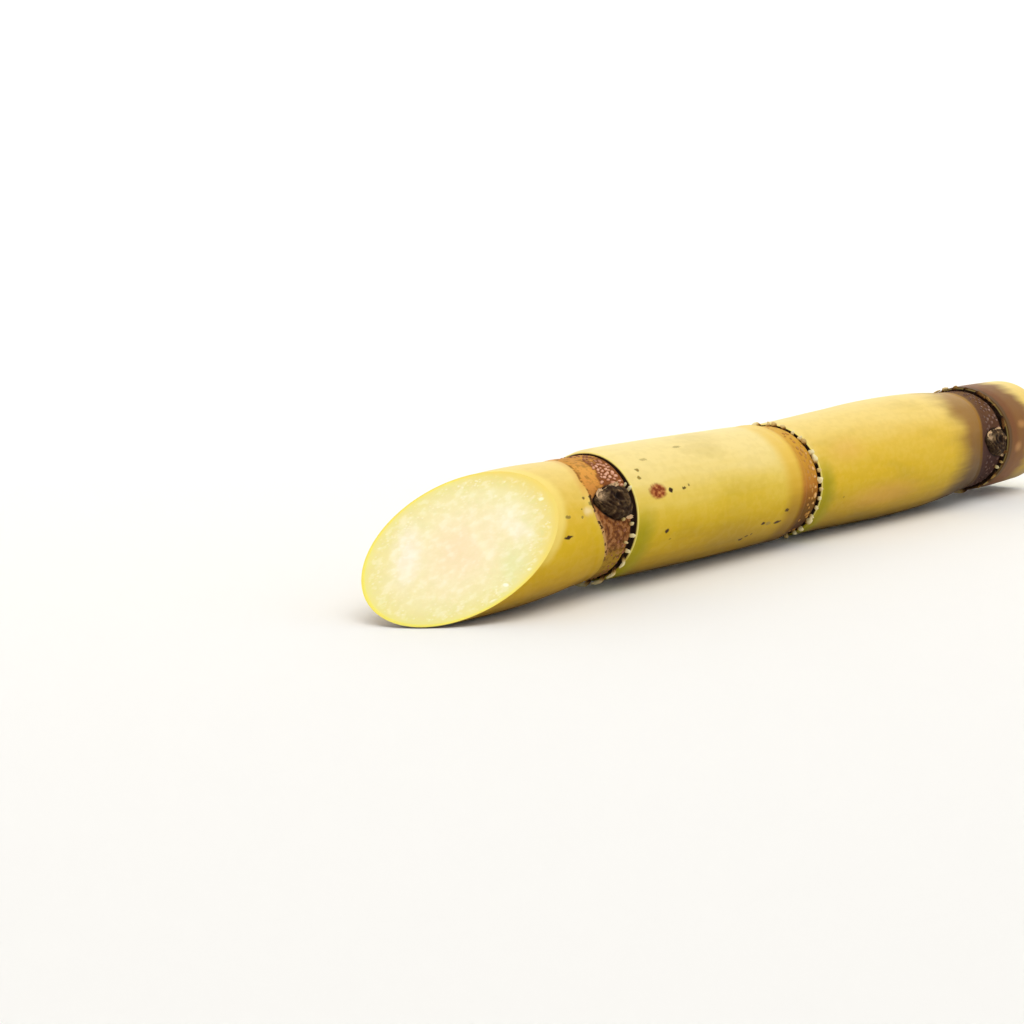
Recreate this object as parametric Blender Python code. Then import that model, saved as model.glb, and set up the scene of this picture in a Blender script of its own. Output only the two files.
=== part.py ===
"""A cut length of sugarcane stalk, lying on its side.

Lengths are in millimetres until a mesh is made. +X runs from the slanting cut at the upper end to the root end. An
angle goes round the stalk from its top, 0, by the -Y side, 90, to its underside, 180. A place on the skin is given
as a station and an angle. The station is the X of a straight, even stalk. skin_point() bends that stalk, leans its
scars and widens the root bands at the buds.
"""

import math
import random
from collections import namedtuple

import bmesh
import bpy
from mathutils import Vector

METRES_PER_MM = 0.001

# Where the heart of the stalk runs, as X, Y and Z: upper tip, three nodes, root end. It is a little crooked.
HEART = (
    (-171.0, -0.5, 15.9),
    (-94.0, 1.2, 18.85),
    (4.0, 1.9, 18.5),
    (135.0, 0.0, 20.8),
    (168.3, -0.6, 21.3),
)
BEND_REACH = 6.0

# The slanting cut at the upper end: its middle, how far it leans from square, and the side that it faces.
CUT_MIDDLE_X = -148.5
CUT_LEAN_DEG = 51.5
CUT_FACES_DEG = 46.0
ROOT_END_X = HEART[-1][0]

# Each shaft's radius at four even steps, from the node above it to the node below it.
SHAFT_RADII = (
    (15.2, 17.15, 17.75, 16.9),
    (18.0, 18.45, 18.55, 18.4),
    (18.3, 19.6, 20.3, 18.2),
    (19.4, 19.5, 19.4, 19.2),
)

# A node, from the shaft above it to the shaft below it, as distances from its leaf scar along the stalk.
GROWTH_RING_START = -14.0
GROWTH_RING_CREST = -12.4
GROWTH_RING_END = -10.8
ROOT_BAND_START = -10.0
ROOT_BAND_END = -2.7
CREVICE_START = -2.5
CREVICE_END = -0.1
LIP_START = 0.1
LIP_CREST = 0.8
SHAFT_START = 3.5
GROWTH_RING_RISE = 0.35
CREVICE_DEPTH = 1.1
LIP_ROUNDING = 0.35

# Root dots on the band, on every second corner of the mesh, and the wider band round the bud.
ROOT_ROWS = (-8.6, -7.2, -5.8, -4.4)
ROOT_DOT_RISE = 0.35
BAND_WIDENING = 0.78
BAND_WIDENING_REACH_DEG = 42.0
SLANT_FADE = 26.0

SIDES = 48
SHAFT_ROWS = (5, 6, 8, 2)

# A bud: a pointed scale on the band, its tip towards the upper end.
BUD_BASE = -3.3
BUD_TIP = -9.7
BUD_HALF_WIDTH_DEG = 15.0
BUD_RISE = 3.2
BUD_EDGE = 0.5
BUD_ROWS = 8
BUD_COLUMNS = 8

# The collar of dried leaf base in the crevice: a low ring with short stubs.
CLEARANCE = 0.3
STUBS = 34
COLUMNS_PER_STUB = 3
STUB_OVERHANG = 1.3
COLLAR_BELOW_LIP = 0.55

Node = namedtuple("Node", "x band lip bud_angle lean_y lean_z stub_rise bare_from bare_to")
# lean_y and lean_z say how far along X the scar moves for each millimetre of Y and Z. The stubs are worn away
# between the angles bare_from and bare_to.
NODES = (
    Node(HEART[1][0], 16.7, 17.6, 68.0, -0.016, 0.071, 1.1, -15.0, 98.0),
    Node(HEART[2][0], 17.3, 18.0, 250.0, -0.025, -0.050, 1.2, 228.0, 268.0),
    Node(HEART[3][0], 18.0, 19.3, 88.0, -0.027, -0.012, 0.9, 60.0, 112.0),
)
STUB_SEED = 7


def between(low, high, value):
    """How far value is from low to high, held from 0 to 1."""
    return min(1.0, max(0.0, (value - low) / (high - low)))


def angle_gap(a, b):
    """The angle between two directions in degrees, 0 to 180."""
    return abs((a - b + 180.0) % 360.0 - 180.0)


def heart_at(x):
    """Middle of the stalk at x, with each bend spread over a short stretch."""
    total = Vector((0.0, 0.0, 0.0))
    steps = (-1.0, -0.5, 0.0, 0.5, 1.0)
    for step in steps:
        at = x + step * BEND_REACH
        section = sum(at > point[0] for point in HEART[1:-1])
        start, end = Vector(HEART[section]), Vector(HEART[section + 1])
        total += start + (end - start) * ((at - start.x) / (end.x - start.x))
    middle = total / len(steps)
    return Vector((x, middle.y, middle.z))


def shaft_ends(shaft):
    """First and last station of a shaft."""
    start = HEART[0][0] if shaft == 0 else NODES[shaft - 1].x + SHAFT_START
    end = NODES[shaft].x + GROWTH_RING_START if shaft < len(NODES) else ROOT_END_X
    return start, end


def shaft_radius(shaft, x):
    """The cubic through a shaft's four radii, at station x."""
    start, end = shaft_ends(shaft)
    step = (x - start) / (end - start) * 3.0
    radius = 0.0
    for i, value in enumerate(SHAFT_RADII[shaft]):
        weight = math.prod((step - j) / (i - j) for j in range(4) if j != i)
        radius += value * weight
    return radius


def node_profile(index):
    """Distances from the scar and radii that cross one node."""
    node = NODES[index]
    above = SHAFT_RADII[index][-1]
    below = SHAFT_RADII[index + 1][0]
    return (
        (GROWTH_RING_START, above),
        (GROWTH_RING_CREST, above + GROWTH_RING_RISE),
        (GROWTH_RING_END, above + 0.5 * GROWTH_RING_RISE),
        (ROOT_BAND_START, node.band),
        *((row, node.band) for row in ROOT_ROWS),
        (ROOT_BAND_END, node.band),
        (CREVICE_START, node.band - CREVICE_DEPTH),
        (CREVICE_END, node.band - CREVICE_DEPTH),
        (LIP_START, node.lip - LIP_ROUNDING),
        (LIP_CREST, node.lip),
        (SHAFT_START, below),
    )


def slant(index, offset, angle):
    """How far along X a place near a node moves, for its leaning scar and its wide band at the bud."""
    node = NODES[index]
    turn = math.radians(angle)
    lean = node.lip * (-node.lean_y * math.sin(turn) + node.lean_z * math.cos(turn))
    away = angle_gap(angle, node.bud_angle) / BAND_WIDENING_REACH_DEG
    widening = BAND_WIDENING * math.exp(-away * away)
    inside_band = min(0.0, max(offset, ROOT_BAND_START))
    fade = 1.0 - between(0.0, SLANT_FADE, max(ROOT_BAND_START - offset, offset - SHAFT_START))
    return (lean + widening * inside_band) * fade * fade * (3.0 - 2.0 * fade)


def skin_point(station, radius, angle):
    """The point at a station, a distance from the heart and an angle round the stalk."""
    x = station
    for index, node in enumerate(NODES):
        offset = station - node.x
        if ROOT_BAND_START - SLANT_FADE < offset < SHAFT_START + SLANT_FADE:
            x += slant(index, offset, angle)
    turn = math.radians(angle)
    return heart_at(x) + Vector((0.0, -radius * math.sin(turn), radius * math.cos(turn)))


def cut_point(angle):
    """The point of the skin on the slanting cut, found by closing in on it."""
    turn = math.radians(angle - CUT_FACES_DEG)
    side = math.radians(CUT_FACES_DEG)
    middle = heart_at(CUT_MIDDLE_X)
    x = CUT_MIDDLE_X
    for _ in range(12):
        radius = shaft_radius(0, x)
        drift = heart_at(x) - middle
        off_middle = -drift.y * math.sin(side) + drift.z * math.cos(side)
        x = CUT_MIDDLE_X + math.tan(math.radians(CUT_LEAN_DEG)) * (radius * math.cos(turn) + off_middle)
    return x


def laid_down(point, floor=0.0):
    """The point, pressed flat where it would go below the surface that the stalk lies on."""
    return Vector((point.x, point.y, max(point.z, floor)))


def stalk_rings():
    """Rings of points from the slanting cut to the root end."""
    angles = [(i + 0.5) * 360.0 / SIDES for i in range(SIDES)]
    rings = []
    first_ring_x = shaft_ends(0)[1]
    for row in range(SHAFT_ROWS[0]):
        share = row / SHAFT_ROWS[0]
        ring = []
        for angle in angles:
            start = cut_point(angle)
            station = start + (first_ring_x + slant(0, GROWTH_RING_START, angle) - start) * share
            turn = math.radians(angle)
            radius = shaft_radius(0, station)
            ring.append(heart_at(station) + radius * Vector((0.0, -math.sin(turn), math.cos(turn))))
        rings.append(ring)
    for index, node in enumerate(NODES):
        for offset, radius in node_profile(index):
            ring = []
            for column, angle in enumerate(angles):
                rise = 0.0
                if offset in ROOT_ROWS and (column + ROOT_ROWS.index(offset)) % 2 == 0:
                    rise = ROOT_DOT_RISE * (angle_gap(angle, node.bud_angle) > 2.0 * BUD_HALF_WIDTH_DEG)
                ring.append(skin_point(node.x + offset, radius + rise, angle))
            rings.append(ring)
        start, end = shaft_ends(index + 1)
        rows = SHAFT_ROWS[index + 1]
        for row in range(1, rows + 1):
            station = start + (end - start) * row / (rows + 1)
            rings.append([skin_point(station, shaft_radius(index + 1, station), angle) for angle in angles])
    rings.append([skin_point(ROOT_END_X, SHAFT_RADII[-1][-1], angle) for angle in angles])
    return [[laid_down(point) for point in ring] for ring in rings]


def collar_rings(index, draw):
    """Cross-sections of one collar, once round the stalk."""
    node = NODES[index]
    low = node.band - CREVICE_DEPTH + CLEARANCE
    top = node.lip - COLLAR_BELOW_LIP
    left, right = CREVICE_START + CLEARANCE, CREVICE_END - CLEARANCE
    over_band = node.band + CLEARANCE + ROOT_DOT_RISE
    rings = []
    for column in range(STUBS * COLUMNS_PER_STUB):
        angle = column * 360.0 / (STUBS * COLUMNS_PER_STUB)
        in_stub = column % COLUMNS_PER_STUB
        if in_stub == 0:
            rise = node.stub_rise * draw.uniform(0.55, 1.0)
            past_worn = (angle - node.bare_from) % 360.0 > (node.bare_to - node.bare_from) % 360.0
        stub = rise * past_worn * (in_stub > 0)
        reach = STUB_OVERHANG * stub / node.stub_rise
        section = (
            (left, low),
            (right, low),
            (right, top + 0.6 * stub),
            (0.5 * (left + right) - 0.5 * reach, top + stub),
            (left - reach, max(over_band, top + 0.5 * stub) if reach else top),
            (left, over_band if reach else top - 0.1),
        )
        ring = [skin_point(node.x + offset, radius, angle) for offset, radius in section]
        rings.append([laid_down(point, CLEARANCE) for point in ring])
    return rings


def bud_rings(index):
    """Cross-sections of one bud, from its base at the scar to its tip."""
    node = NODES[index]
    rings = []
    for row in range(BUD_ROWS + 1):
        share = row / BUD_ROWS
        station = node.x + BUD_BASE + (BUD_TIP - BUD_BASE) * share
        width = BUD_HALF_WIDTH_DEG * (0.1 + 0.9 * math.sin(math.pi * (0.22 + 0.78 * share)) ** 0.75)
        dome = BUD_RISE * math.sin(math.pi * (0.25 + 0.7 * share)) ** 0.8
        across = [2.0 * column / BUD_COLUMNS - 1.0 for column in range(BUD_COLUMNS + 1)]
        outer = []
        for side in across:
            rise = CLEARANCE + BUD_EDGE + dome * math.sqrt(1.0 - min(1.0, side * side))
            outer.append(skin_point(station, node.band + rise, node.bud_angle + side * width))
        inner = [skin_point(station, node.band + CLEARANCE, node.bud_angle + side * width) for side in across]
        rings.append(outer + inner[::-1])
    return rings


def solid(name, rings, looped, material):
    """One closed object through rings of points. A looped one joins its last ring to its first."""
    mesh = bmesh.new()
    corners = [[mesh.verts.new(point * METRES_PER_MM) for point in ring] for ring in rings]
    pairs = list(zip(corners, corners[1:]))
    if looped:
        pairs.append((corners[-1], corners[0]))
    else:
        mesh.faces.new(corners[0])
        mesh.faces.new(corners[-1])
    for ring, following in pairs:
        for i in range(len(ring)):
            after = (i + 1) % len(ring)
            mesh.faces.new((ring[i], ring[after], following[after], following[i]))
    bmesh.ops.recalc_face_normals(mesh, faces=mesh.faces)
    data = bpy.data.meshes.new(name)
    mesh.to_mesh(data)
    mesh.free()
    data.materials.append(material)
    data.shade_smooth()
    data.set_sharp_from_angle(angle=math.radians(40.0))
    item = bpy.data.objects.new(name, data)
    bpy.context.scene.collection.objects.link(item)
    return item


def finish(name, colour, roughness):
    """A plain Principled BSDF material."""
    material = bpy.data.materials.new(name)
    material.use_nodes = True
    shader = material.node_tree.nodes["Principled BSDF"]
    shader.inputs["Base Color"].default_value = (*colour, 1.0)
    shader.inputs["Roughness"].default_value = roughness
    shader.inputs["Metallic"].default_value = 0.0
    return material


def main():
    """Builds the stalk, then a collar and a bud at each node."""
    for item in list(bpy.data.objects):
        bpy.data.objects.remove(item)
    rind = finish("cane_rind", (0.62, 0.48, 0.10), 0.45)
    dry_sheath = finish("dried_leaf_base", (0.38, 0.25, 0.12), 0.85)
    bud_scale = finish("bud_scale", (0.10, 0.06, 0.045), 0.7)
    solid("stalk", stalk_rings(), False, rind)
    draw = random.Random(STUB_SEED)
    for index in range(len(NODES)):
        solid(f"leaf_collar_{index + 1}", collar_rings(index, draw), True, dry_sheath)
        solid(f"bud_{index + 1}", bud_rings(index), False, bud_scale)


main()
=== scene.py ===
"""The looks of a cut length of sugarcane: waxy rind, wet cut flesh, dried leaf collars, buds and root dots.

Lengths are in millimetres until a mesh is made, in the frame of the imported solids: +X runs from the slanting
cut at the upper end to the root end, and +Z is up. An angle goes round the stalk from its top, 0, by the -Y
side, 90, to its underside, 180. A station is the X of a straight, even stalk, which Stem bends and leans into
the real one.
"""

from __future__ import annotations

import logging
import math
import random
from dataclasses import dataclass
from enum import Enum
from typing import Any, Iterable, Sequence

import bpy
import numpy as np
from mathutils import Euler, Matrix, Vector, noise

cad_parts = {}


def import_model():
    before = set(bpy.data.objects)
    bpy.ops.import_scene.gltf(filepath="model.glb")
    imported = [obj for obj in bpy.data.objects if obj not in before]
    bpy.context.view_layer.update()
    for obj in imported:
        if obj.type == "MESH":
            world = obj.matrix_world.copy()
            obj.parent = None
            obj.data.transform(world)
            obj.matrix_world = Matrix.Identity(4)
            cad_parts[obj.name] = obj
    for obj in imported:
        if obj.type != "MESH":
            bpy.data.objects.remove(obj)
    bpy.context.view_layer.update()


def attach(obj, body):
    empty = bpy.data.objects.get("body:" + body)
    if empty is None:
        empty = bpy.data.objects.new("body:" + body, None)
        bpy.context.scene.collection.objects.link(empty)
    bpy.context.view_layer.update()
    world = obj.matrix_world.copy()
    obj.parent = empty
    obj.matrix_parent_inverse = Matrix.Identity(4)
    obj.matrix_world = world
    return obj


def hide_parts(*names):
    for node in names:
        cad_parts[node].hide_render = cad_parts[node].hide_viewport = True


LOG = logging.getLogger("sugarcane")
METRES_PER_MM = 0.001

Points = np.ndarray
Stops = Sequence[tuple[float, str]]
Tree = bpy.types.NodeTree
Node = bpy.types.Node
Socket = bpy.types.NodeSocket


def linear(colour: str) -> tuple[float, float, float, float]:
    """Turns an sRGB colour into the linear one that Blender reads.

    Args:
        colour: The colour as "#rrggbb".

    Returns:
        Red, green, blue and an alpha of 1.
    """
    parts = [int(colour[i : i + 2], 16) / 255.0 for i in (1, 3, 5)]
    red, green, blue = (
        part / 12.92 if part <= 0.04045 else ((part + 0.055) / 1.055) ** 2.4 for part in parts
    )
    return red, green, blue, 1.0


def add_node(
    tree: Tree, kind: str, inputs: dict[str | int, Any] | None = None, **settings: Any
) -> Node:
    """Adds one node.

    Args:
        tree: The node tree to add to.
        kind: The node's Blender type.
        inputs: Input name or number to a value, or to an output socket that feeds it.
        **settings: Properties of the node itself.

    Returns:
        The new node.
    """
    node = tree.nodes.new(kind)
    for name, value in settings.items():
        setattr(node, name, value)
    for key, value in (inputs or {}).items():
        if isinstance(value, Socket):
            tree.links.new(value, node.inputs[key])
        else:
            node.inputs[key].default_value = value
    return node


def set_stops(ramp: Node, stops: Stops) -> Socket:
    """Gives a colour ramp its stops.

    Args:
        ramp: A Color Ramp node.
        stops: Position and sRGB colour of each stop, in order.

    Returns:
        The ramp's colour output.
    """
    elements = ramp.color_ramp.elements
    elements.remove(elements[-1])
    elements[0].position, elements[0].color = stops[0][0], linear(stops[0][1])
    for position, colour in stops[1:]:
        elements.new(position).color = linear(colour)
    return ramp.outputs["Color"]


def paint(
    tree: Tree,
    base: Socket,
    layers: Iterable[tuple[Socket, Socket | str]],
) -> Socket:
    """Lays colours over a base, one after the other.

    Args:
        tree: The node tree.
        base: The colour beneath.
        layers: For each layer, how much of it covers, and its colour as a socket or as sRGB hex.

    Returns:
        The mixed colour.
    """
    for cover, colour in layers:
        top = linear(colour) if isinstance(colour, str) else colour
        mix = add_node(tree, "ShaderNodeMix", {0: cover, 6: base, 7: top}, data_type="RGBA")
        base = mix.outputs[2]
    return base


def window(
    tree: Tree, value: Socket, low: float, high: float, soft: float
) -> Socket:
    """A mask that is 1 where a value lies between two limits.

    Args:
        tree: The node tree.
        value: The value to test.
        low: The lower limit.
        high: The upper limit.
        soft: How far outside each limit the mask takes to fall to 0.

    Returns:
        The mask.
    """
    smooth = {"interpolation_type": "SMOOTHSTEP"}
    rise = add_node(tree, "ShaderNodeMapRange", {0: value, 1: low - soft, 2: low}, **smooth).outputs[0]
    fall = add_node(tree, "ShaderNodeMapRange", {0: value, 1: high + soft, 2: high}, **smooth).outputs[0]
    return times(tree, rise, fall)


def times(tree: Tree, *factors: Socket | float) -> Socket:
    """The product of several values.

    Args:
        tree: The node tree.
        *factors: Two or more sockets or numbers.

    Returns:
        The product.
    """
    product = factors[0]
    for factor in factors[1:]:
        product = add_node(tree, "ShaderNodeMath", {0: product, 1: factor}, operation="MULTIPLY").outputs[0]
    return product


def moved(tree: Tree, value: Socket, by: Socket, amount: float) -> Socket:
    """A value, moved by so much of another.

    Args:
        tree: The node tree.
        value: The value to move.
        by: What moves it.
        amount: How much of that is added.

    Returns:
        The moved value.
    """
    return add_node(tree, "ShaderNodeMath", {0: by, 1: amount, 2: value}, operation="MULTIPLY_ADD").outputs[0]


def turned(angle: Points | float, start: float) -> Points | float:
    """The turn from one angle to another, from -180 to 180."""
    return (angle - start + 180.0) % 360.0 - 180.0


@dataclass(frozen=True)
class NodeShape:
    """One node of the stalk: its place, its radii, the side of its bud and the lean of its leaf scar.

    lean_y and lean_z say how far along X the scar moves for each millimetre of Y and Z. gaps holds angles and
    the crevice's width at each.
    """

    x: float
    band: float
    lip: float
    bud_angle: float
    lean_y: float
    lean_z: float
    gaps: tuple[tuple[float, float], ...]


@dataclass(frozen=True)
class Stem:
    """The form of the stalk, shared by every piece: its bends, its thickness and how its skin lies."""

    heart: tuple[tuple[float, float, float], ...] = (
        (-171.0, -0.5, 15.9),
        (-94.0, 1.2, 18.85),
        (4.0, 1.9, 18.5),
        (135.0, 0.0, 20.8),
        (168.3, -0.6, 21.3),
    )
    bend_reach: float = 6.0
    shaft_radii: tuple[tuple[float, ...], ...] = (
        (15.2, 17.15, 17.75, 16.9),
        (18.0, 18.45, 18.55, 18.4),
        (18.3, 19.6, 20.3, 18.2),
        (19.4, 19.5, 19.4, 19.2),
    )
    nodes: tuple[NodeShape, ...] = (
        NodeShape(
            -94.0,
            16.7,
            17.6,
            68.0,
            -0.016,
            0.071,
            (
                (-180.0, 1.6),
                (-70.0, 1.0),
                (-30.0, 0.55),
                (20.0, 0.42),
                (48.0, 0.6),
                (70.0, 1.4),
                (98.0, 1.5),
                (116.0, 2.1),
                (180.0, 1.6),
            ),
        ),
        NodeShape(
            4.0, 17.3, 18.0, 250.0, -0.025, -0.050, ((-180.0, 1.6), (0.0, 1.2), (60.0, 1.6), (180.0, 1.6))
        ),
        NodeShape(135.0, 18.0, 19.3, 88.0, -0.027, -0.012, ((-180.0, 2.0), (0.0, 1.7), (180.0, 2.0))),
    )
    cut_middle_x: float = -148.5
    cut_lean_deg: float = 51.5
    cut_faces_deg: float = 46.0
    ring_start: float = -14.0
    ring_crest: float = -11.8
    ring_end: float = -10.6
    band_from: float = -8.0
    band_start: float = -10.0
    crevice_wall: float = 0.35
    crevice_end: float = -0.1
    shaft_start: float = 3.5
    ring_rise: float = 0.12
    crevice_depth: float = 0.9
    lip_rounding: float = 0.35
    band_widening: float = 0.78
    widening_reach_deg: float = 42.0
    slant_fade: float = 26.0

    def heart_at(self, x: Points) -> Points:
        """The middle of the stalk, with each bend spread over a short stretch.

        Args:
            x: Places along X.

        Returns:
            A point for each place.
        """
        heart = np.array(self.heart)
        middle = np.zeros(x.shape + (2,))
        steps = (-1.0, -0.5, 0.0, 0.5, 1.0)
        for step in steps:
            at = x + step * self.bend_reach
            section = np.searchsorted(heart[1:-1, 0], at)
            start, end = heart[section], heart[section + 1]
            share = (at - start[..., 0]) / (end[..., 0] - start[..., 0])
            middle += start[..., 1:] + (end - start)[..., 1:] * share[..., None]
        return np.concatenate([x[..., None], middle / len(steps)], axis=-1)

    def shaft_ends(self, shaft: int) -> tuple[float, float]:
        """Where a shaft starts and ends.

        Args:
            shaft: Which shaft, counted from the slanting cut.

        Returns:
            Its first and last station.
        """
        start = self.heart[0][0] if shaft == 0 else self.nodes[shaft - 1].x + self.shaft_start
        end = self.nodes[shaft].x + self.ring_start if shaft < len(self.nodes) else self.heart[-1][0]
        return start, end

    def shaft_radius(self, shaft: int, x: Points) -> Points:
        """The cubic through a shaft's four radii.

        Args:
            shaft: Which shaft.
            x: Stations.

        Returns:
            The radius at each.
        """
        start, end = self.shaft_ends(shaft)
        step = (x - start) / (end - start) * 3.0
        radius = np.zeros_like(step)
        for i, value in enumerate(self.shaft_radii[shaft]):
            weight = np.ones_like(step)
            for j in range(4):
                if j != i:
                    weight = weight * (step - j) / (i - j)
            radius += value * weight
        return radius

    def gap(self, index: int, angle: Points) -> Points:
        """How wide the crevice before a leaf scar is at each angle."""
        gaps = np.array(self.nodes[index].gaps)
        return np.interp(turned(angle, 0.0), gaps[:, 0], gaps[:, 1])

    def crevice(self, index: int, offset: Points, angle: Points) -> Points:
        """How far down the crevice each place lies, from 0 outside it to 1 at its bottom.

        Args:
            index: Which node.
            offset: Distances from its leaf scar.
            angle: Angles round the stalk.

        Returns:
            The depth at each, as a share of the whole.
        """
        down = np.clip((offset + self.gap(index, angle)) / self.crevice_wall, 0.0, 1.0)
        up = np.clip((self.crevice_end + 0.1 - offset) / 0.2, 0.0, 1.0)
        return down * down * (3.0 - 2.0 * down) * up

    def node_radius(self, index: int, offset: Points, angle: Points) -> Points:
        """The radius across a node, eased between the places that shape it.

        Args:
            index: Which node.
            offset: Distances from its leaf scar, towards the root end.
            angle: Angles round the stalk.

        Returns:
            The radius at each.
        """
        node = self.nodes[index]
        above, below = self.shaft_radii[index][-1], self.shaft_radii[index + 1][0]
        profile = np.array((
            (self.ring_start, above),
            (self.ring_crest, above + self.ring_rise),
            (self.ring_end, above + 0.5 * self.ring_rise),
            (self.band_from, node.band),
            (self.crevice_end, node.band),
            (0.15, node.lip - self.lip_rounding),
            (0.4, node.lip - 0.3 * self.lip_rounding),
            (0.8, node.lip),
            (self.shaft_start, below),
        ))
        at = np.clip(np.searchsorted(profile[:, 0], offset, side="right") - 1, 0, len(profile) - 2)
        low, high = profile[at], profile[at + 1]
        share = np.clip((offset - low[..., 0]) / (high[..., 0] - low[..., 0]), 0.0, 1.0)
        eased = low[..., 1] + (high - low)[..., 1] * share * share * (3.0 - 2.0 * share)
        long = (high - low)[..., 0]
        slope_before = self.slope(index, self.shaft_ends(index)[1] - 0.5)
        slope_after = self.slope(index + 1, self.shaft_ends(index + 1)[0])
        eased = eased + np.where(at == 0, slope_before * long * share * (1.0 - share) ** 2, 0.0)
        last = at == len(profile) - 2
        eased = eased - np.where(last, slope_after * long * share**2 * (1.0 - share), 0.0)
        return eased - self.crevice_depth * self.crevice(index, offset, angle)

    def slope(self, shaft: int, x: float) -> float:
        """How fast a shaft's radius grows over the half millimetre that starts at a station."""
        radii = self.shaft_radius(shaft, np.array([x, x + 0.5]))
        return float(radii[1] - radii[0]) / 0.5

    def slant(self, index: int, offset: Points, angle: Points) -> Points:
        """How far along X a place near a node moves, for its leaning scar and its wide band at the bud.

        Args:
            index: Which node.
            offset: Distances from its leaf scar.
            angle: Angles round the stalk.

        Returns:
            The move for each.
        """
        node = self.nodes[index]
        turn = np.radians(angle)
        lean = node.lip * (-node.lean_y * np.sin(turn) + node.lean_z * np.cos(turn))
        away = np.abs(turned(angle, node.bud_angle)) / self.widening_reach_deg
        inside = np.clip(offset, self.band_start, 0.0)
        past = np.maximum(self.band_start - offset, offset - self.shaft_start) / self.slant_fade
        fade = 1.0 - np.clip(past, 0.0, 1.0)
        return (lean + self.band_widening * np.exp(-away * away) * inside) * fade * fade * (3.0 - 2.0 * fade)

    def skin(self, station: Points | float, radius: Points | float, angle: Points | float) -> Points:
        """Points at stations, distances from the heart and angles, pressed flat where they meet the table.

        Args:
            station: Stations along the stalk.
            radius: Distances from the heart.
            angle: Angles round the stalk.

        Returns:
            A point for each.
        """
        given = (np.asarray(values, dtype=float) for values in (station, radius, angle))
        station, radius, angle = np.broadcast_arrays(*given)
        x = station.copy()
        for index, node in enumerate(self.nodes):
            x += self.slant(index, station - node.x, angle)
        return self.around(x, radius, angle)

    def around(self, x: Points, radius: Points, angle: Points) -> Points:
        """Points round the heart, pressed flat where they meet the table.

        Args:
            x: Places along X.
            radius: Distances from the heart.
            angle: Angles round the stalk.

        Returns:
            A point for each.
        """
        turn = np.radians(angle)
        points = self.heart_at(x)
        points[..., 1] -= radius * np.sin(turn)
        points[..., 2] += radius * np.cos(turn)
        points[..., 2] = np.maximum(points[..., 2], 0.0)
        return points

    def cut_x(self, angle: Points) -> Points:
        """Where the slanting cut meets the skin, found by closing in on it.

        Args:
            angle: Angles round the stalk.

        Returns:
            The place along X at each.
        """
        turn = np.radians(angle - self.cut_faces_deg)
        side = math.radians(self.cut_faces_deg)
        x = np.full_like(turn, self.cut_middle_x)
        middle = self.heart_at(np.array([self.cut_middle_x]))[0]
        for _ in range(12):
            drift = self.heart_at(x) - middle
            off_middle = -drift[..., 1] * math.sin(side) + drift[..., 2] * math.cos(side)
            reach = self.shaft_radius(0, x) * np.cos(turn) + off_middle
            x = self.cut_middle_x + math.tan(math.radians(self.cut_lean_deg)) * reach
        return x

    def cut_normal(self) -> tuple[float, float, float]:
        """The direction square to the slanting cut, into the stalk."""
        lean, side = math.radians(self.cut_lean_deg), math.radians(self.cut_faces_deg)
        return (math.cos(lean), math.sin(lean) * math.sin(side), -math.sin(lean) * math.cos(side))

    def cut_level(self) -> float:
        """How far the cut's middle lies along that direction."""
        middle = self.heart_at(np.array([self.cut_middle_x]))[0]
        return float(np.dot(middle, self.cut_normal()))


STEM = Stem()


def lumps(points: Points, size: float, seed: float) -> Points:
    """Smooth noise from -1 to 1 at each point.

    Args:
        points: Points in millimetres, as rows.
        size: The lumps' size in millimetres.
        seed: Moves the pattern.

    Returns:
        One value for each point.
    """
    shift = Vector((seed, 2.0 * seed, 3.0 * seed))
    flat = (points.reshape(-1, 3) / size).tolist()
    return np.array([noise.noise(Vector(point) + shift) for point in flat]).reshape(points.shape[:-1])


def piece(
    name: str, points: Points, faces: Sequence[Sequence[int]], sharp_deg: float = 40.0
) -> bpy.types.Object:
    """Makes one mesh object that rides on the stalk's body.

    Args:
        name: The piece's name.
        points: Its corners in millimetres, as rows.
        faces: The corners of each face, counter-clockwise from outside.
        sharp_deg: Edges that bend more than this stay sharp.

    Returns:
        The object.
    """
    mesh = bpy.data.meshes.new(name)
    mesh.from_pydata((points * METRES_PER_MM).tolist(), [], faces)
    mesh.shade_smooth()
    mesh.set_sharp_from_angle(angle=math.radians(sharp_deg))
    made = bpy.data.objects.new(name, mesh)
    bpy.context.scene.collection.objects.link(made)
    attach(made, "root")
    return made


def mark(made: bpy.types.Object, name: str, values: Points, domain: str = "POINT") -> None:
    """Stores values on a mesh for its material to read.

    Args:
        made: The object.
        name: The attribute's name.
        values: One number, or one row of three, for each point or corner.
        domain: POINT or CORNER.
    """
    kind, field = ("FLOAT", "value") if values.ndim == 1 else ("FLOAT_VECTOR", "vector")
    layer = made.data.attributes.new(name, kind, domain)
    layer.data.foreach_set(field, values.astype(np.float32).ravel())


def loft(rings: int, sides: int) -> list[list[int]]:
    """Faces of a tube of rings whose corners follow one another, closed at both ends by one face each.

    Args:
        rings: How many rings.
        sides: Corners in each.

    Returns:
        The faces.
    """
    faces = []
    for ring in range(rings - 1):
        for side in range(sides):
            after = (side + 1) % sides
            a, b = ring * sides, (ring + 1) * sides
            faces.append([a + side, a + after, b + after, b + side])
    last = (rings - 1) * sides
    faces.append(list(reversed(range(sides))))
    faces.append([last + side for side in range(sides)])
    return faces


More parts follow.
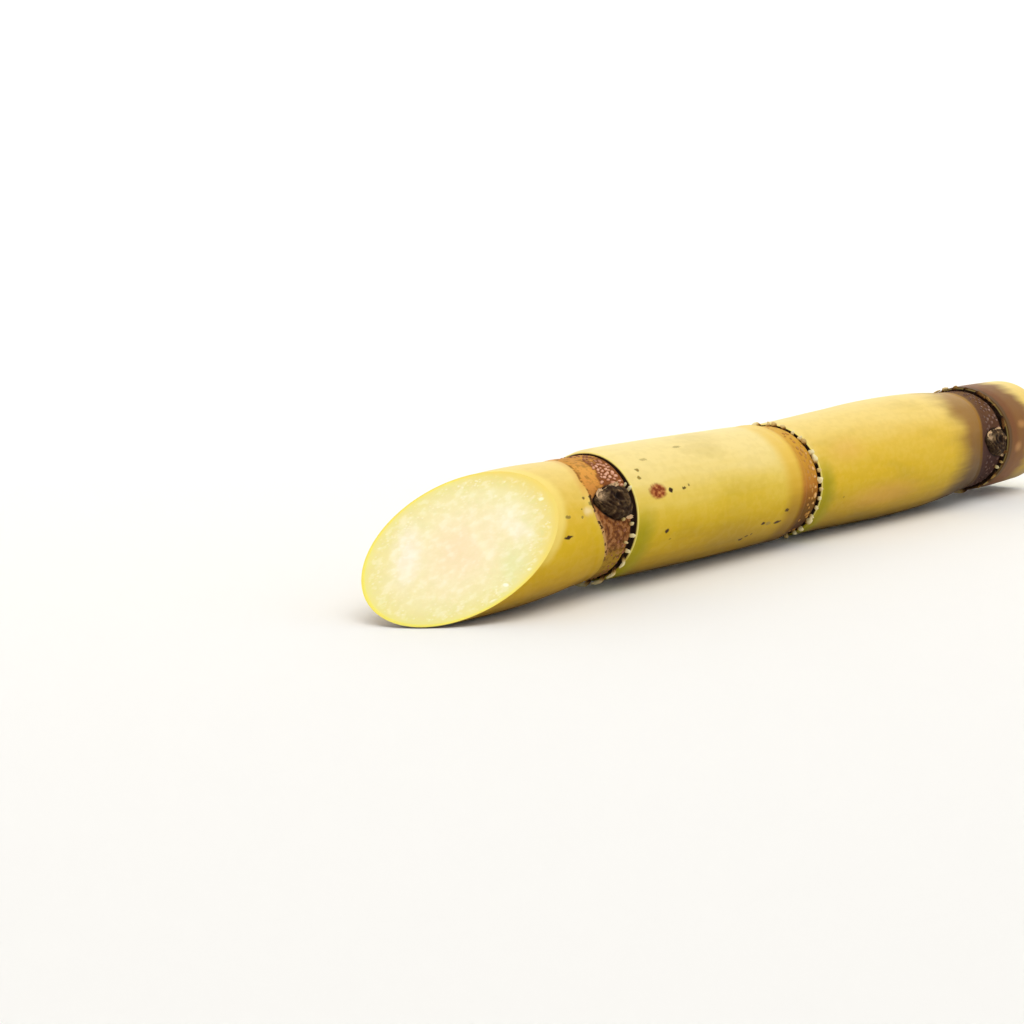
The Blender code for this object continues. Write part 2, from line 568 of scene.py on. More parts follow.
class RindTint(str, Enum):
    """A colour that lies over the rind's own, named for what it is; a few are painted light and shade."""

    SMUDGE = "#a08a3a"
    PALE_FLECK = "#fff0b8"
    DARK_FLECK = "#9a7a18"
    WAX_GREEN = "#948e00"
    ROOT_END_RED = "#744420"
    # A painted glow beside the cut, for light coming out through the rind.
    CUT_GLOW = "#fae482"
    GILT = "#e0ab4e"
    DIRT = "#4a2810"
    STAIN = "#7c4424"
    TAN_LUMP = "#b07a4a"
    PIT = "#4c2814"
    UPPER_SEAM = "#7a4c16"
    LOWER_SEAM = "#e2b070"
    SEAM_SPECK = "#4a2c10"
    # Painted shade in the crevices and up the lip walls.
    CREVICE_SHADE = "#24130a"
    # A painted highlight along each lip on the upper side.
    LIP_RIM = "#f6e684"
    LAST_LIP_RIM = "#5c4222"
    # Painted shadow round each bud.
    BUD_SHADOW = "#180c06"
    BRUISE_HALO = "#c06a38"


class Mark(str, Enum):
    """A kind of blemish on the rind, with its colour."""

    BRUISE = "#80340e"
    SPECK = "#3a230c"
    SCUFF = "#9a8238"
    BLUSH = "#e0a25c"
    PALE = "#f2dcae"


@dataclass(frozen=True)
class Blemish:
    """A mark on the skin: its kind, its place, its length along and width round the stalk, its strength."""

    kind: Mark
    station: float
    angle: float
    length: float
    width: float
    strength: float = 1.0


@dataclass(frozen=True)
class Patch:
    """A soft oval tint on a cut face: its middle across the stalk, its size, turn, colour and strength."""

    y: float
    z: float
    length: float
    width: float
    turn_deg: float
    colour: str
    strength: float
    core: float = 0.1


def oval(
    tree: Tree,
    place: Socket,
    middle: tuple[float, float, float],
    turn: tuple[float, float, float],
    half: tuple[float, float, float],
    core: float,
    strength: float,
) -> Socket:
    """A soft oval mask.

    Args:
        tree: The node tree.
        place: The place to test, in millimetres.
        middle: The oval's middle.
        turn: Its turn round each axis in degrees.
        half: Its half sizes.
        core: The share of its radius inside which the mask is whole.
        strength: The mask's value there.

    Returns:
        The mask, which falls to 0 just outside the oval.
    """
    turned_to = tuple(math.radians(angle) for angle in turn)
    local = {"Vector": place, "Location": middle, "Rotation": turned_to, "Scale": half}
    unit = add_node(tree, "ShaderNodeMapping", local, vector_type="TEXTURE").outputs[0]
    away = add_node(tree, "ShaderNodeVectorMath", {0: unit}, operation="LENGTH").outputs["Value"]
    ends = {0: away, 1: 1.15, 2: core, 4: strength}
    return add_node(tree, "ShaderNodeMapRange", ends, interpolation_type="SMOOTHSTEP").outputs[0]


@dataclass(frozen=True)
class Finish:
    """A finish: its name, and what the shader's own sockets hold."""

    name: str
    roughness: float
    ior: float = 1.45
    specular: float = 0.5
    subsurface: float = 0.0
    subsurface_mm: float = 3.0

    def material(self) -> bpy.types.Material:
        """Builds the finish as a Blender material."""
        made = bpy.data.materials.new(self.name)
        made.use_nodes = True
        tree = made.node_tree
        tree.nodes.clear()
        own = {
            "Roughness": self.roughness,
            "IOR": self.ior,
            "Specular IOR Level": self.specular,
            "Subsurface Weight": self.subsurface,
            "Subsurface Scale": self.subsurface_mm * METRES_PER_MM,
        }
        shader = add_node(tree, "ShaderNodeBsdfPrincipled", own)
        add_node(tree, "ShaderNodeOutputMaterial", {"Surface": shader.outputs[0]})
        place = add_node(tree, "ShaderNodeTexCoord").outputs["Object"]
        scaled = {0: place, "Scale": 1.0 / METRES_PER_MM}
        mm = add_node(tree, "ShaderNodeVectorMath", scaled, operation="SCALE").outputs[0]
        self.dress(tree, shader, mm)
        return made

    def dress(self, tree: Tree, shader: Node, mm: Socket) -> None:
        """Adds the colours, sheen and relief.

        Args:
            tree: The node tree.
            shader: The Principled BSDF.
            mm: The place on the piece in millimetres.
        """
        raise NotImplementedError

    def value(self, tree: Tree, name: str) -> Socket:
        """Reads one number that the mesh carries."""
        return add_node(tree, "ShaderNodeAttribute", attribute_name=name).outputs["Fac"]

    def stretched(self, tree: Tree, mm: Socket, size: tuple[float, float, float], detail: float) -> Socket:
        """Noise whose lumps have a real size.

        Args:
            tree: The node tree.
            mm: The place in millimetres.
            size: The lumps' size along X, Y and Z in millimetres.
            detail: Octaves of finer noise.

        Returns:
            The noise, about 0.5 on average.
        """
        shrunk = {0: mm, 1: tuple(1.0 / side for side in size)}
        lump_units = add_node(tree, "ShaderNodeVectorMath", shrunk, operation="MULTIPLY").outputs[0]
        settings = {"Vector": lump_units, "Scale": 1.0, "Detail": detail}
        return add_node(tree, "ShaderNodeTexNoise", settings).outputs[0]

    def relief(
        self,
        tree: Tree,
        shader: Node,
        layers: Iterable[tuple[Socket, float, float]],
    ) -> None:
        """Adds fine relief to the shader.

        Args:
            tree: The node tree.
            shader: The Principled BSDF.
            layers: Height, strength and depth in millimetres of each layer.
        """
        normal: dict[str, Socket] = {}
        for height, strength, depth in layers:
            sockets = {"Height": height, "Strength": strength, "Distance": depth * METRES_PER_MM, **normal}
            normal = {"Normal": add_node(tree, "ShaderNodeBump", sockets).outputs[0]}
        tree.links.new(normal["Normal"], shader.inputs["Normal"])


@dataclass(frozen=True)
class RindPlace:
    """Where a point of the rind lies, and the noises and masks there that several colours share, as sockets.

    fall runs from 0 on top to 1 beneath, and height is fall moved by clouds and streaks. spread holds
    station, millimetres round the stalk and offset from the nearest scar, and scar_line is that offset with
    a ragged border. edge grows from 0 at the start of a root band, and near says which nodes are near.
    """

    fall: Socket
    height: Socket
    spread: Socket
    station: Socket
    offset: Socket
    scar_line: Socket
    edge: Socket
    near: tuple[Socket, ...]
    cloud: Socket
    streak: Socket
    mottle: Socket
    blotch: Socket
    before_scar: Socket
    on_band: Socket


@dataclass(frozen=True)
class CaneRind(Finish):
    """Sugarcane rind: a hard, smooth skin under a thin natural wax, which softens its shine to satin.

    It is paler and creamier on the upper side and olive to brown beneath, partly its own colour and partly
    painted light: a painted sheen on top and painted shade beneath. It is green in the wax band just below
    each leaf scar, and orange to brown on the root bands.
    """

    name: str = "waxed_cane_rind"
    roughness: float = 0.45
    specular: float = 0.1
    subsurface: float = 0.02
    # The ramps by height, the bands' too, are partly painted light: pale top stops hold a painted sheen, and
    # the darkening beneath is painted shade.
    upper: Stops = (
        (0.0, "#f3df98"),
        (0.2, "#f1db90"),
        (0.3, "#ecd480"),
        (0.39, "#e3c658"),
        (0.48, "#d9b830"),
        (0.58, "#ceaa08"),
        (0.68, "#bb9606"),
        (0.78, "#9a780e"),
        (0.88, "#765a10"),
        (1.0, "#4e3a12"),
    )
    golden: Stops = (
        (0.0, "#f2d884"),
        (0.18, "#ecce70"),
        (0.34, "#dfb93c"),
        (0.5, "#d8b112"),
        (0.64, "#c9a008"),
        (0.76, "#b08810"),
        (0.88, "#846216"),
        (1.0, "#5e4616"),
    )
    halo_colours: Stops = (
        (0.0, "#eccb62"),
        (0.3, "#e6bb3c"),
        (0.45, "#cf9f20"),
        (0.58, "#a4791a"),
        (0.7, "#7c5816"),
        (1.0, "#4c3610"),
    )
    browned: Stops = (
        (0.0, "#a67e38"),
        (0.35, "#8c5f1c"),
        (0.5, "#744d14"),
        (0.65, "#553a16"),
        (1.0, "#34220e"),
    )
    band_colours: tuple[Stops, ...] = (
        (
            (0.0, "#c98f3e"),
            (0.12, "#df9f46"),
            (0.24, "#d6923f"),
            (0.33, "#9a5c2e"),
            (0.5, "#804c22"),
            (0.57, "#7e4e28"),
            (0.63, "#a07a24"),
            (0.7, "#a68226"),
            (0.82, "#7c5c22"),
            (1.0, "#4c3614"),
        ),
        (
            (0.0, "#dcb055"),
            (0.22, "#d3a03a"),
            (0.36, "#c68e30"),
            (0.46, "#ba7a2e"),
            (0.55, "#996220"),
            (0.64, "#74501c"),
            (0.8, "#4c3424"),
            (1.0, "#38261a"),
        ),
        ((0.0, "#7a5834"), (0.3, "#5e3e28"), (0.5, "#4a302a"), (0.62, "#3c201a"), (1.0, "#2a1810")),
    )
    blemishes: tuple[Blemish, ...] = (
        Blemish(Mark.BRUISE, -83.8, 65.6, 8.2, 4.6),
        Blemish(Mark.SPECK, -77.7, 66.8, 2.4, 1.4),
        Blemish(Mark.SPECK, -71.2, 67.2, 2.0, 1.1, 0.9),
        Blemish(Mark.SPECK, -68.6, 65.3, 1.0, 0.7, 0.7),
        Blemish(Mark.SPECK, -80.4, 101.5, 2.2, 1.4),
        Blemish(Mark.SPECK, -77.7, 110.1, 1.2, 0.8, 0.5),
        Blemish(Mark.SCUFF, -61.5, 24.0, 4.0, 1.2, 0.6),
        Blemish(Mark.SCUFF, -82.0, 33.0, 3.6, 1.0, 0.5),
        Blemish(Mark.SCUFF, -88.3, 42.9, 1.8, 1.2),
        Blemish(Mark.SCUFF, -89.6, 50.9, 1.8, 1.2),
        Blemish(Mark.SPECK, -122.5, 85.2, 5.6, 1.0),
        Blemish(Mark.SPECK, -108.1, 55.7, 1.7, 0.9, 0.8),
        Blemish(Mark.SPECK, -104.8, 55.7, 1.7, 1.3, 0.9),
        Blemish(Mark.SPECK, -105.0, 62.0, 2.8, 1.2, 0.6),
        Blemish(Mark.SCUFF, -121.3, 68.9, 3.6, 1.1),
        Blemish(Mark.SPECK, -110.9, 65.2, 1.0, 0.6, 0.8),
        Blemish(Mark.SCUFF, -111.8, 71.9, 1.8, 1.1),
        Blemish(Mark.PALE, -107.6, 68.0, 6.5, 3.4, 0.6),
        Blemish(Mark.SPECK, -28.1, 115.6, 2.6, 1.1),
        Blemish(Mark.SCUFF, -25.0, 117.0, 3.4, 1.2, 0.8),
        Blemish(Mark.SPECK, -19.5, 118.0, 4.6, 1.1),
        Blemish(Mark.SPECK, -16.4, 106.5, 2.8, 1.0, 0.9),
        Blemish(Mark.SPECK, -36.7, 129.7, 2.4, 1.3),
        Blemish(Mark.SPECK, -34.2, 127.3, 2.0, 1.1, 0.9),
        Blemish(Mark.SPECK, -31.8, 126.0, 1.4, 0.8, 0.7),
        Blemish(Mark.BLUSH, 22.0, 60.0, 26.0, 11.0, 0.22),
        Blemish(Mark.BLUSH, 44.0, 112.0, 60.0, 11.0, 0.35),
        Blemish(Mark.SPECK, 18.1, 106.5, 1.2, 0.8, 0.4),
        Blemish(Mark.BLUSH, 143.0, 96.0, 7.0, 4.6, 0.35),
        Blemish(Mark.BLUSH, 147.0, 72.0, 9.0, 3.6, 0.35),
        Blemish(Mark.SPECK, -45.0, 262.0, 3.4, 0.9, 0.9),
        Blemish(Mark.BRUISE, 52.0, 284.0, 5.6, 3.2, 0.8),
        Blemish(Mark.SPECK, 58.0, 286.0, 1.8, 1.2, 0.9),
        Blemish(Mark.SCUFF, 84.0, 300.0, 7.0, 2.2, 0.8),
        Blemish(Mark.SPECK, 96.0, 238.0, 2.8, 0.9, 0.9),
        Blemish(Mark.SPECK, -130.0, 292.0, 2.2, 1.1, 0.9),
        Blemish(Mark.SCUFF, -66.0, 318.0, 6.0, 1.8, 0.7),
    )
    mm_per_degree: float = 0.32
    cloud_mm: tuple[float, float, float] = (34.0, 9.0, 9.0)
    # Fibre bundles lie about 0.5 mm apart beneath the rind, too fine to show, so they are drawn coarser.
    streak_mm: tuple[float, float, float] = (60.0, 1.6, 1.6)
    mottle_mm: tuple[float, float, float] = (3.0, 2.0, 2.0)
    blotch_mm: tuple[float, float, float] = (1.6, 1.2, 1.2)
    torn_rim_mm: tuple[float, float, float] = (1.1, 1.1, 1.1)
    golden_before: float = -112.0
    golden_past: float = 8.0
    browned_from: float = 85.0
    last_scar: float = 135.2

    def spots(self, tree: Tree, spread: Socket, kind: Mark) -> Socket:
        """The cover of all blemishes of a kind.

        Args:
            tree: The node tree.
            spread: Station and millimetres round the stalk.
            kind: The kind of blemish.

        Returns:
            The cover, 0 to 1.
        """
        cover: Socket | float = 0.0
        core = 0.15 if kind in (Mark.BLUSH, Mark.PALE) else 0.6
        for spot in (one for one in self.blemishes if one.kind is kind):
            middle = (spot.station, turned(spot.angle, 0.0) * self.mm_per_degree, 0.0)
            half = (0.5 * spot.length, 0.5 * spot.width, 1.0)
            inside = oval(tree, spread, middle, (0.0, 0.0, 0.0), half, core, spot.strength)
            cover = add_node(tree, "ShaderNodeMath", {0: inside, 1: cover}, operation="MAXIMUM").outputs[0]
        return cover

    def dress(self, tree: Tree, shader: Node, mm: Socket) -> None:
        """Adds the rind's colours by height and by node, its blemishes, wax and faint grain.

        Args:
            tree: The node tree.
            shader: The Principled BSDF.
            mm: The place on the piece in millimetres.
        """
        at = self.place(tree, mm)
        skin = self.between_nodes(tree, at)
        skin = self.beside_nodes(tree, at, skin)
        skin = self.beside_cut(tree, at, skin, mm)
        skin = self.on_bands(tree, at, skin)
        skin = self.on_first_band(tree, at, skin)
        skin = self.in_crevices(tree, at, skin)
        skin = self.blemished(tree, at, skin, mm)
        tree.links.new(skin, shader.inputs["Base Color"])
        satin = add_node(tree, "ShaderNodeMapRange", {0: at.mottle, 3: 0.38, 4: 0.52}).outputs[0]
        tree.links.new(moved(tree, satin, at.on_band, 0.25), shader.inputs["Roughness"])
        self.relief(tree, shader, ((at.streak, 0.12, 0.4), (at.mottle, 0.1, 0.4)))

    def place(self, tree: Tree, mm: Socket) -> RindPlace:
        """Reads where a point lies, and works out the noises and masks that several colours share.

        Args:
            tree: The node tree.
            mm: The place on the piece in millimetres.

        Returns:
            The sockets.
        """
        fall, edge = self.value(tree, "fall"), self.value(tree, "edge")
        nodes = add_node(tree, "ShaderNodeAttribute", attribute_name="near_node").outputs["Vector"]
        spread = add_node(tree, "ShaderNodeAttribute", attribute_name="place").outputs["Vector"]
        station, _, offset = add_node(tree, "ShaderNodeSeparateXYZ", {0: spread}).outputs
        cloud = self.stretched(tree, mm, self.cloud_mm, 2.0)
        streak = self.stretched(tree, mm, self.streak_mm, 3.0)
        mottle = self.stretched(tree, mm, self.mottle_mm, 3.0)

        # Clouds move the boundary between pale and golden skin up and down, and streaks run with the fibres.
        swayed = moved(tree, moved(tree, fall, cloud, 0.16), streak, 0.06)
        ragged = moved(tree, offset, mottle, 1.6)
        before_scar = window(tree, offset, -30.0, 0.0, 0.3)
        return RindPlace(
            fall=fall,
            height=add_node(tree, "ShaderNodeMath", {0: swayed, 1: 0.11}, operation="SUBTRACT").outputs[0],
            spread=spread,
            station=station,
            offset=offset,
            scar_line=add_node(tree, "ShaderNodeMath", {0: ragged, 1: 0.8}, operation="SUBTRACT").outputs[0],
            edge=edge,
            near=tuple(add_node(tree, "ShaderNodeSeparateXYZ", {0: nodes}).outputs),
            cloud=cloud,
            streak=streak,
            mottle=mottle,
            blotch=self.stretched(tree, mm, self.blotch_mm, 3.0),
            before_scar=before_scar,
            on_band=times(tree, window(tree, edge, 0.0, 60.0, 1.0), before_scar),
        )

    def by_height(self, tree: Tree, at: RindPlace, stops: Stops) -> Socket:
        """The colour that stops give for the height on the stalk; each ramp darkens beneath as painted shade.
        """
        return set_stops(add_node(tree, "ShaderNodeValToRGB", {0: at.height}), stops)

    def between_nodes(self, tree: Tree, at: RindPlace) -> Socket:
        """The bare rind by height, golden beside the cut and past the second node, with faint flecks.

        Args:
            tree: The node tree.
            at: Where the point lies.

        Returns:
            The colour.
        """
        pale, gold = self.by_height(tree, at, self.upper), self.by_height(tree, at, self.golden)
        beside_cut = window(tree, at.station, -200.0, self.golden_before, 16.0)
        past_second = window(tree, at.station, self.golden_past, 200.0, 8.0)
        upper_half = window(tree, at.height, -1.0, 0.48, 0.14)
        smudge = add_node(tree, "ShaderNodeMapRange", {0: at.cloud, 1: 0.56, 2: 0.7, 4: 0.16}).outputs[0]
        pale_fleck = times(tree, window(tree, at.mottle, 0.64, 1.0, 0.2), 0.03)
        dark_fleck = times(tree, window(tree, at.mottle, 0.0, 0.36, 0.2), 0.05)
        layers = [
            (beside_cut, gold),
            (times(tree, past_second, upper_half, 0.85), gold),
            (smudge, RindTint.SMUDGE),
            (pale_fleck, RindTint.PALE_FLECK),
            (dark_fleck, RindTint.DARK_FLECK),
        ]
        return paint(tree, pale, layers)

    def beside_nodes(self, tree: Tree, at: RindPlace, skin: Socket) -> Socket:
        """Adds the halo before the second band, the browning round the last node, and green past the scars.

        Args:
            tree: The node tree.
            at: Where the point lies.
            skin: The colour so far.

        Returns:
            The colour.
        """
        before_band = window(tree, at.scar_line, -17.0, -11.0, 7.0)
        halo = times(tree, before_band, window(tree, at.station, -30.0, 20.0, 10.0), 0.75)

        # The browning on both sides of the last node ends raggedly, as clouds and streaks shift its border.
        ragged_off = moved(tree, moved(tree, at.offset, at.cloud, 26.0), at.streak, 7.0)
        before_last = window(tree, at.station, self.browned_from, 140.0, 5.0)
        brown = times(tree, window(tree, ragged_off, -7.5, 80.0, 24.0), before_last, 0.95)
        past_last = window(tree, at.station, self.last_scar, 400.0, 0.6)
        red_end = times(tree, past_last, window(tree, ragged_off, -80.0, 28.0, 14.0), 0.92)

        low_side = window(tree, moved(tree, at.fall, at.near[1], 0.07), 0.57, 1.0, 0.2)
        green = times(tree, window(tree, at.scar_line, 0.4, 2.6, 8.0), low_side, 0.75)
        layers = [
            (halo, self.by_height(tree, at, self.halo_colours)),
            (brown, self.by_height(tree, at, self.browned)),
            (green, RindTint.WAX_GREEN),
            (red_end, RindTint.ROOT_END_RED),
        ]
        return paint(tree, skin, layers)

    def beside_cut(self, tree: Tree, at: RindPlace, skin: Socket, mm: Socket) -> Socket:
        """Paints a glow on the rind beside the cut, for light that enters the wet flesh and comes out through
        it.

        Args:
            tree: The node tree.
            at: Where the point lies.
            skin: The colour so far.
            mm: The place on the piece in millimetres.

        Returns:
            The colour.
        """
        facing = {0: mm, 1: STEM.cut_normal()}
        behind = add_node(tree, "ShaderNodeVectorMath", facing, operation="DOT_PRODUCT").outputs["Value"]
        level = {0: behind, 1: STEM.cut_level()}
        off_cut = add_node(tree, "ShaderNodeMath", level, operation="SUBTRACT").outputs[0]
        upper_half = window(tree, at.height, -1.0, 0.45, 0.16)
        glow = times(tree, window(tree, off_cut, -1.0, 1.0, 2.2), upper_half, 0.6)
        return paint(tree, skin, [(glow, RindTint.CUT_GLOW)])

    def on_bands(self, tree: Tree, at: RindPlace, skin: Socket) -> Socket:
        """Adds each root band's own colours, their dirt, and the gilt just before the first one.

        Args:
            tree: The node tree.
            at: Where the point lies.
            skin: The colour so far.

        Returns:
            The colour.
        """
        near_band = times(tree, window(tree, at.edge, -3.0, 2.0, 4.5), at.before_scar, at.near[0])
        gilt = times(tree, near_band, window(tree, at.fall, -1.0, 0.24, 0.1), 0.8)
        layers = [(gilt, RindTint.GILT)]
        for near, stops in zip(at.near, self.band_colours):
            layers.append((times(tree, at.on_band, near), self.by_height(tree, at, stops)))
        dirt = add_node(tree, "ShaderNodeMapRange", {0: at.blotch, 1: 0.5, 2: 0.66}).outputs[0]
        dirty = add_node(tree, "ShaderNodeMapRange", {0: at.near[1], 3: 0.4, 4: 0.12}).outputs[0]
        layers.append((times(tree, at.on_band, dirt, dirty), RindTint.DIRT))
        return paint(tree, skin, layers)

    def on_first_band(self, tree: Tree, at: RindPlace, skin: Socket) -> Socket:
        """Adds what only the first band has: its stain, the warts and pits beneath, and its torn seam.

        Args:
            tree: The node tree.
            at: Where the point lies.
            skin: The colour so far.

        Returns:
            The colour.
        """
        torn, patchy = moved(tree, at.offset, at.mottle, 5.0), moved(tree, at.fall, at.mottle, 0.4)
        beside_bud = times(tree, window(tree, torn, -3.3, 9.0, 1.6), window(tree, patchy, 0.3, 0.56, 0.08))
        warty = times(tree, at.on_band, at.near[0], window(tree, patchy, 0.55, 0.8, 0.08))
        seam = times(tree, window(tree, at.edge, -0.3, 0.1, 0.7), at.before_scar, at.near[0])
        dotted = add_node(tree, "ShaderNodeMapRange", {0: at.blotch, 1: 0.42, 2: 0.54}).outputs[0]
        specked = window(tree, at.blotch, 0.56, 1.0, 0.02)
        covers = {
            RindTint.STAIN: times(tree, at.on_band, beside_bud, at.near[0], 0.9),
            RindTint.TAN_LUMP: times(tree, warty, window(tree, at.blotch, 0.57, 1.0, 0.06), 0.7),
            RindTint.PIT: times(tree, warty, window(tree, at.blotch, 0.0, 0.41, 0.05), 0.7),
            RindTint.UPPER_SEAM: times(tree, seam, window(tree, at.fall, 0.1, 0.34, 0.04), dotted, 0.7),
            RindTint.LOWER_SEAM: times(tree, seam, window(tree, at.fall, 0.38, 0.62, 0.04), 0.55),
            RindTint.SEAM_SPECK: times(tree, seam, window(tree, at.fall, 0.3, 0.64, 0.04), specked),
        }
        return paint(tree, skin, [(cover, tint) for tint, cover in covers.items()])

    def in_crevices(self, tree: Tree, at: RindPlace, skin: Socket) -> Socket:
        """Adds painted shade in crevices and round buds, a painted highlight on the lips, and the last lip's
        dark rim.

        Args:
            tree: The node tree.
            at: Where the point lies.
            skin: The colour so far.

        Returns:
            The colour.
        """
        depth, painted_bud_shadow = self.value(tree, "depth"), self.value(tree, "painted_bud_shadow")
        upper_rim = window(tree, at.fall, 0.0, 0.62, 0.15)
        last_lip = times(tree, window(tree, at.scar_line, -9.0, 2.0, 1.4), at.near[2])
        covers = {
            RindTint.CREVICE_SHADE: add_node(tree, "ShaderNodeMapRange", {0: depth, 1: 0.1, 2: 0.6}).outputs[0],
            RindTint.LIP_RIM: times(tree, window(tree, at.offset, 0.22, 0.4, 0.2), upper_rim, 0.7),
            RindTint.LAST_LIP_RIM: times(tree, window(tree, at.offset, 0.22, 9.0, 0.2), last_lip),
            RindTint.BUD_SHADOW: add_node(tree, "ShaderNodeMapRange", {0: painted_bud_shadow, 1: 0.2, 2: 0.7}).outputs[0],
        }
        return paint(tree, skin, [(cover, tint) for tint, cover in covers.items()])

    def blemished(self, tree: Tree, at: RindPlace, skin: Socket, mm: Socket) -> Socket:
        """Adds the blemishes, with torn rims.

        Args:
            tree: The node tree.
            at: Where the point lies.
            skin: The colour so far.
            mm: The place on the piece in millimetres.

        Returns:
            The colour.
        """
        wander = self.stretched(tree, mm, self.torn_rim_mm, 1.0)
        jitter = add_node(tree, "ShaderNodeMapRange", {0: wander, 3: -0.45, 4: 0.45}).outputs[0]
        torn = add_node(tree, "ShaderNodeVectorMath", {0: at.spread, 1: jitter}, operation="ADD").outputs[0]
        no_offset = {0: torn, 1: (1.0, 1.0, 0.0)}
        flat = add_node(tree, "ShaderNodeVectorMath", no_offset, operation="MULTIPLY").outputs[0]
        for kind in Mark:
            cover = self.spots(tree, flat, kind)
            if kind is Mark.BRUISE:
                skin = paint(tree, skin, [(times(tree, cover, 0.85), RindTint.BRUISE_HALO)])
                healed = add_node(tree, "ShaderNodeMapRange", {0: at.blotch, 1: 0.34, 2: 0.56}).outputs[0]
                cover = times(tree, cover, healed)
            skin = paint(tree, skin, [(cover, kind)])
        return skin


